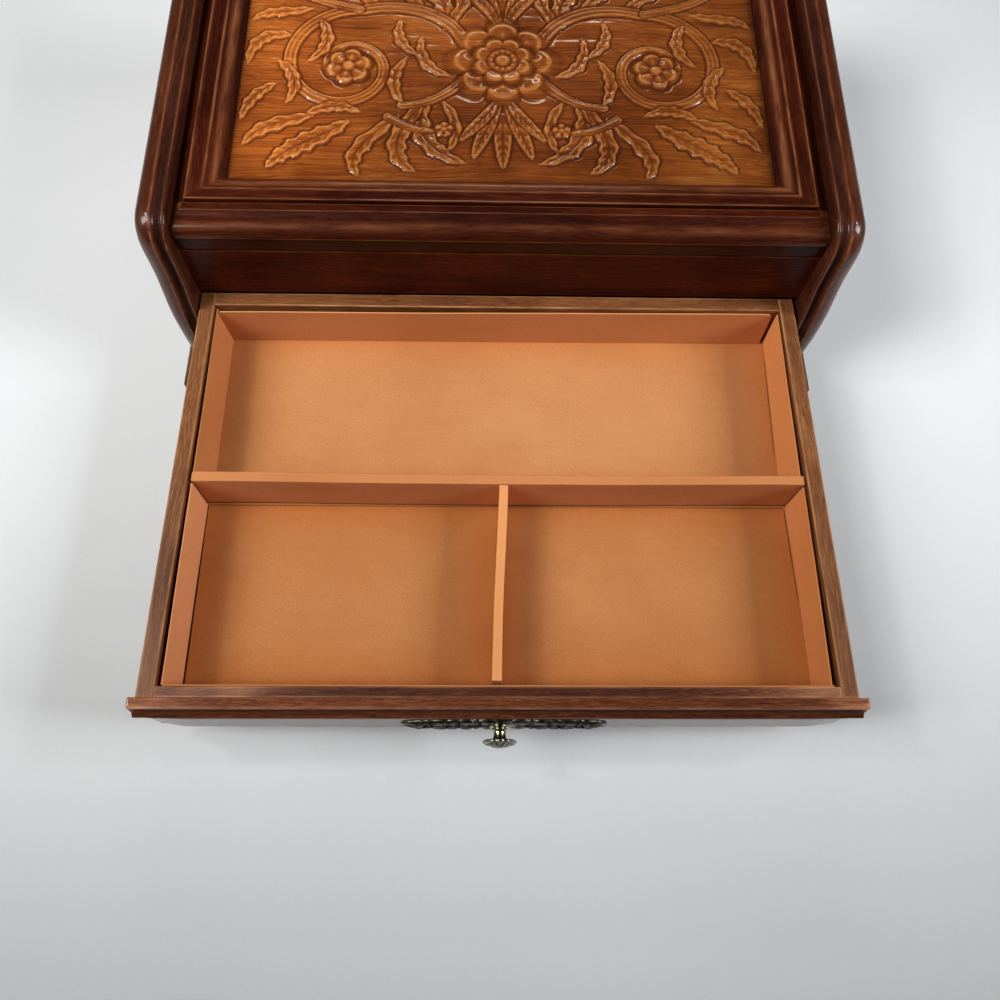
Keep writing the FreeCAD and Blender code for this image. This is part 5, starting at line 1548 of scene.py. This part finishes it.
def pins():
    """Two small pins, their heads filed nearly flush with the cast leaves."""
    v, f, w, c = [], [], [], []
    T = np.linspace(0, 2 * math.pi, 28, endpoint=False)
    for sx in (-1, 1):
        prof = [(0.45, 3.6), (0.6, 3.4), (0.6, -0.55), (1.05, -0.6), (1.15, -0.85), (1.0, -1.1), (0.65, -1.28), (0.25, -1.34)]
        rr = [np.column_stack([PLX + sx * 29.5 + r * np.cos(T), np.full(28, face + o), KZ + r * np.sin(T)]) for r, o in prof]
        a, b = loft(rr)
        f += [tuple(i + sum(len(k) for k in v) for i in q) for q in b]
        v.append(a)
        w += [0.3 if 0.9 < r < 1.1 else 0.0 for r, o in prof for _ in range(28)]
        c += [0.6] * len(a)
    make("backplate_pins", np.vstack(v), f, "drawer", "antique_brass", M_BRASS, ["backplate_pins"], wear_and_highlight=np.array(w), cav=np.array(c), angle=60)


pins()
dress("knob_screw", M_STEEL, 0.15)
dress("drawer_front_screws", M_STEEL, 0.15)


# ================================================================== hinges
def screw_head(name, centres, r, body, node, to=None, seed=0):
    """Countersunk heads with a cross recess, driven towards the front."""
    bm = bmesh.new()
    rs = np.random.RandomState(seed)
    for c in centres:
        a0 = rs.uniform(0, math.pi / 2)
        bw, bl, dp = 0.24, 0.98, 0.45

        def pt(a, b, d):
            ca, sa = math.cos(a0), math.sin(a0)
            p = np.array([c[0] + a * ca - b * sa, c[1] - d, c[2] + a * sa + b * ca])
            if to is not None:
                p = to(p)
            return Vector(p * 0.001)

        N = 40
        cross = [(bw, bw), (bl, bw), (bl, -bw), (bw, -bw), (bw, -bl), (-bw, -bl), (-bw, -bw), (-bl, -bw), (-bl, bw), (-bw, bw), (-bw, bl), (bw, bl)]
        rim = [bm.verts.new(pt((r - 0.12) * math.cos(2 * math.pi * k / N), (r - 0.12) * math.sin(2 * math.pi * k / N), 0.03)) for k in range(N)]
        top = [bm.verts.new(pt(a, b, 0.0)) for a, b in cross]
        bot = [bm.verts.new(pt(a * 0.8, b * 0.8, dp)) for a, b in cross]
        er = [bm.edges.new((rim[k], rim[(k + 1) % N])) for k in range(N)]
        et = [bm.edges.new((top[k], top[(k + 1) % 12])) for k in range(12)]
        bmesh.ops.triangle_fill(bm, edges=er + et, use_beauty=True)
        for k in range(12):
            bm.faces.new((top[k], top[(k + 1) % 12], bot[(k + 1) % 12], bot[k]))
        bm.faces.new(bot)
        prev = rim
        for rr, d in ((r, 0.12), (0.95, 0.9), (0.95, 4.6), (0.2, 5.4)):
            cur = [bm.verts.new(pt(rr * math.cos(2 * math.pi * k / N), rr * math.sin(2 * math.pi * k / N), d)) for k in range(N)]
            for k in range(N):
                bm.faces.new((prev[k], prev[(k + 1) % N], cur[(k + 1) % N], cur[k]))
            prev = cur
        bm.faces.new(prev)
    bmesh.ops.recalc_face_normals(bm, faces=bm.faces)
    verts = np.array([v.co for v in bm.verts]) * 1000
    bm.verts.index_update()
    faces = [[v.index for v in f.verts] for f in bm.faces]
    bm.free()
    make(name, verts, faces, body, "screw_steel", M_HINGE, [node], angle=35)


cs = [(sx * 75.0 + d, 92.5 + 0.9, 83.5 - 5.6) for sx in (-1, 1) for d in (-7.5, 7.5)]
screw_head("hinge_case_screws", cs, 1.72, "case", "hinge_case_screws", seed=1)
ls = [(sx * 75.0 + d, -2.4 + 0.9, 5.8) for sx in (-1, 1) for d in (-7.5, 7.5)]
screw_head("hinge_lid_screws", ls, 1.72, "lid", "hinge_lid_screws", to=lid, seed=2)
for s in ("left", "right"):
    dress(s + "_hinge_case_leaf", M_HINGE, 0.12)
    dress(s + "_hinge_lid_leaf", M_HINGE, 0.12)
    dress(s + "_hinge_pin", M_STEEL, 0.12)
dress("case_dowels", M_PALE, 0.2)
dress("base_screws", M_STEEL, 0.12)


# ================================================================== stage, light, camera
def floor():
    me = bpy.data.meshes.new("floor")
    s = 3.0
    me.from_pydata([(-s, -s, -0.0003), (s, -s, -0.0003), (s, s, -0.0003), (-s, s, -0.0003)], [], [(0, 1, 2, 3)])
    m = Mat("pale_cloth")
    g = m.coords("x")
    a = m.noise(g, 0.9, 3, 0.6)
    b = m.noise(g, 0.006, 2, 0.5)
    f = m.remap(m.math("ADD", m.math("MULTIPLY", a, 0.35), m.math("MULTIPLY", b, 0.65)), 0.3, 0.7)
    col = m.ramp(f, [(0.0, (0.722, 0.746, 0.764)), (1.0, (0.778, 0.800, 0.818))])
    m.set(Base_Color=col, Roughness=0.95, Normal=m.bump(a, 0.00006, 1.0))
    m.b.inputs["Specular IOR Level"].default_value = 0.2
    me.materials.append(m.m)
    ob = bpy.data.objects.new("floor", me)
    bpy.context.scene.collection.objects.link(ob)


floor()


def area(name, pos, target, sx, sy, watts, col=(1, 1, 1), spread=180):
    l = bpy.data.lights.new(name, "AREA")
    l.shape = "RECTANGLE"
    l.size, l.size_y = sx, sy
    l.energy = watts
    l.spread = math.radians(spread)
    l.color = col
    ob = bpy.data.objects.new(name, l)
    bpy.context.scene.collection.objects.link(ob)
    p, t = Vector(pos), Vector(target)
    z = (p - t).normalized()
    y = Vector((0, 1, 0))
    x = y.cross(z).normalized()
    y = z.cross(x).normalized()
    ob.matrix_world = Matrix(((x.x, y.x, z.x, p.x), (x.y, y.y, z.y, p.y), (x.z, y.z, z.z, p.z), (0, 0, 0, 1)))
    return ob


C0 = (-0.04, 0.05, 0.03)
area("left_light", (-0.70, -0.30, 0.77), C0, 0.70, 0.36, 1.76, (1.0, 0.99, 0.965), 61)
area("right_light", (0.90, -0.28, 0.66), C0, 0.46, 0.36, 1.34, (0.965, 0.985, 1.0), 61)
area("left_lamp", (-0.58, -0.06, 0.80), C0, 0.08, 0.08, 0.32, (1.0, 0.99, 0.97), 90)
area("right_lamp", (0.74, -0.04, 0.74), C0, 0.08, 0.08, 0.26, (0.97, 0.985, 1.0), 90)
area("rear_lamp", (0.0, 0.84, 0.72), (0.0, -0.05, 0.06), 0.44, 0.06, 0.12, (1.0, 0.88, 0.70), 70)
world = bpy.data.worlds.new("room")
world.use_nodes = True
bg = world.node_tree.nodes["Background"]
bg.inputs[0].default_value = (0.96, 0.98, 1.0, 1)
bg.inputs[1].default_value = 0.012
bpy.context.scene.world = world

cam_d = bpy.data.cameras.new("cam")
cam_d.sensor_width = 36.0
cam_d.sensor_fit = "HORIZONTAL"
cam_d.lens = 850.0 * 36.0 / 1000.0
cam_d.clip_start, cam_d.clip_end = 0.01, 20.0
cam = bpy.data.objects.new("cam", cam_d)
bpy.context.scene.collection.objects.link(cam)
pitch, yaw, roll = math.radians(66.512), math.radians(-3.094), math.radians(3.188)
fv = Vector((-math.sin(yaw) * math.cos(pitch), math.cos(yaw) * math.cos(pitch), -math.sin(pitch)))
rv = Vector((math.cos(yaw), math.sin(yaw), 0.0))
uv = rv.cross(fv)
r2 = rv * math.cos(roll) + uv * math.sin(roll)
u2 = -rv * math.sin(roll) + uv * math.cos(roll)
P = Vector((-0.00752, -0.29230, 0.33799))
cam.matrix_world = Matrix(((r2.x, u2.x, -fv.x, P.x), (r2.y, u2.y, -fv.y, P.y), (r2.z, u2.z, -fv.z, P.z), (0, 0, 0, 1)))
bpy.context.scene.camera = cam
vs = bpy.context.scene.view_settings
vs.view_transform = "Standard"
vs.look = "None"
vs.exposure = 0.0
vs.gamma = 1.0
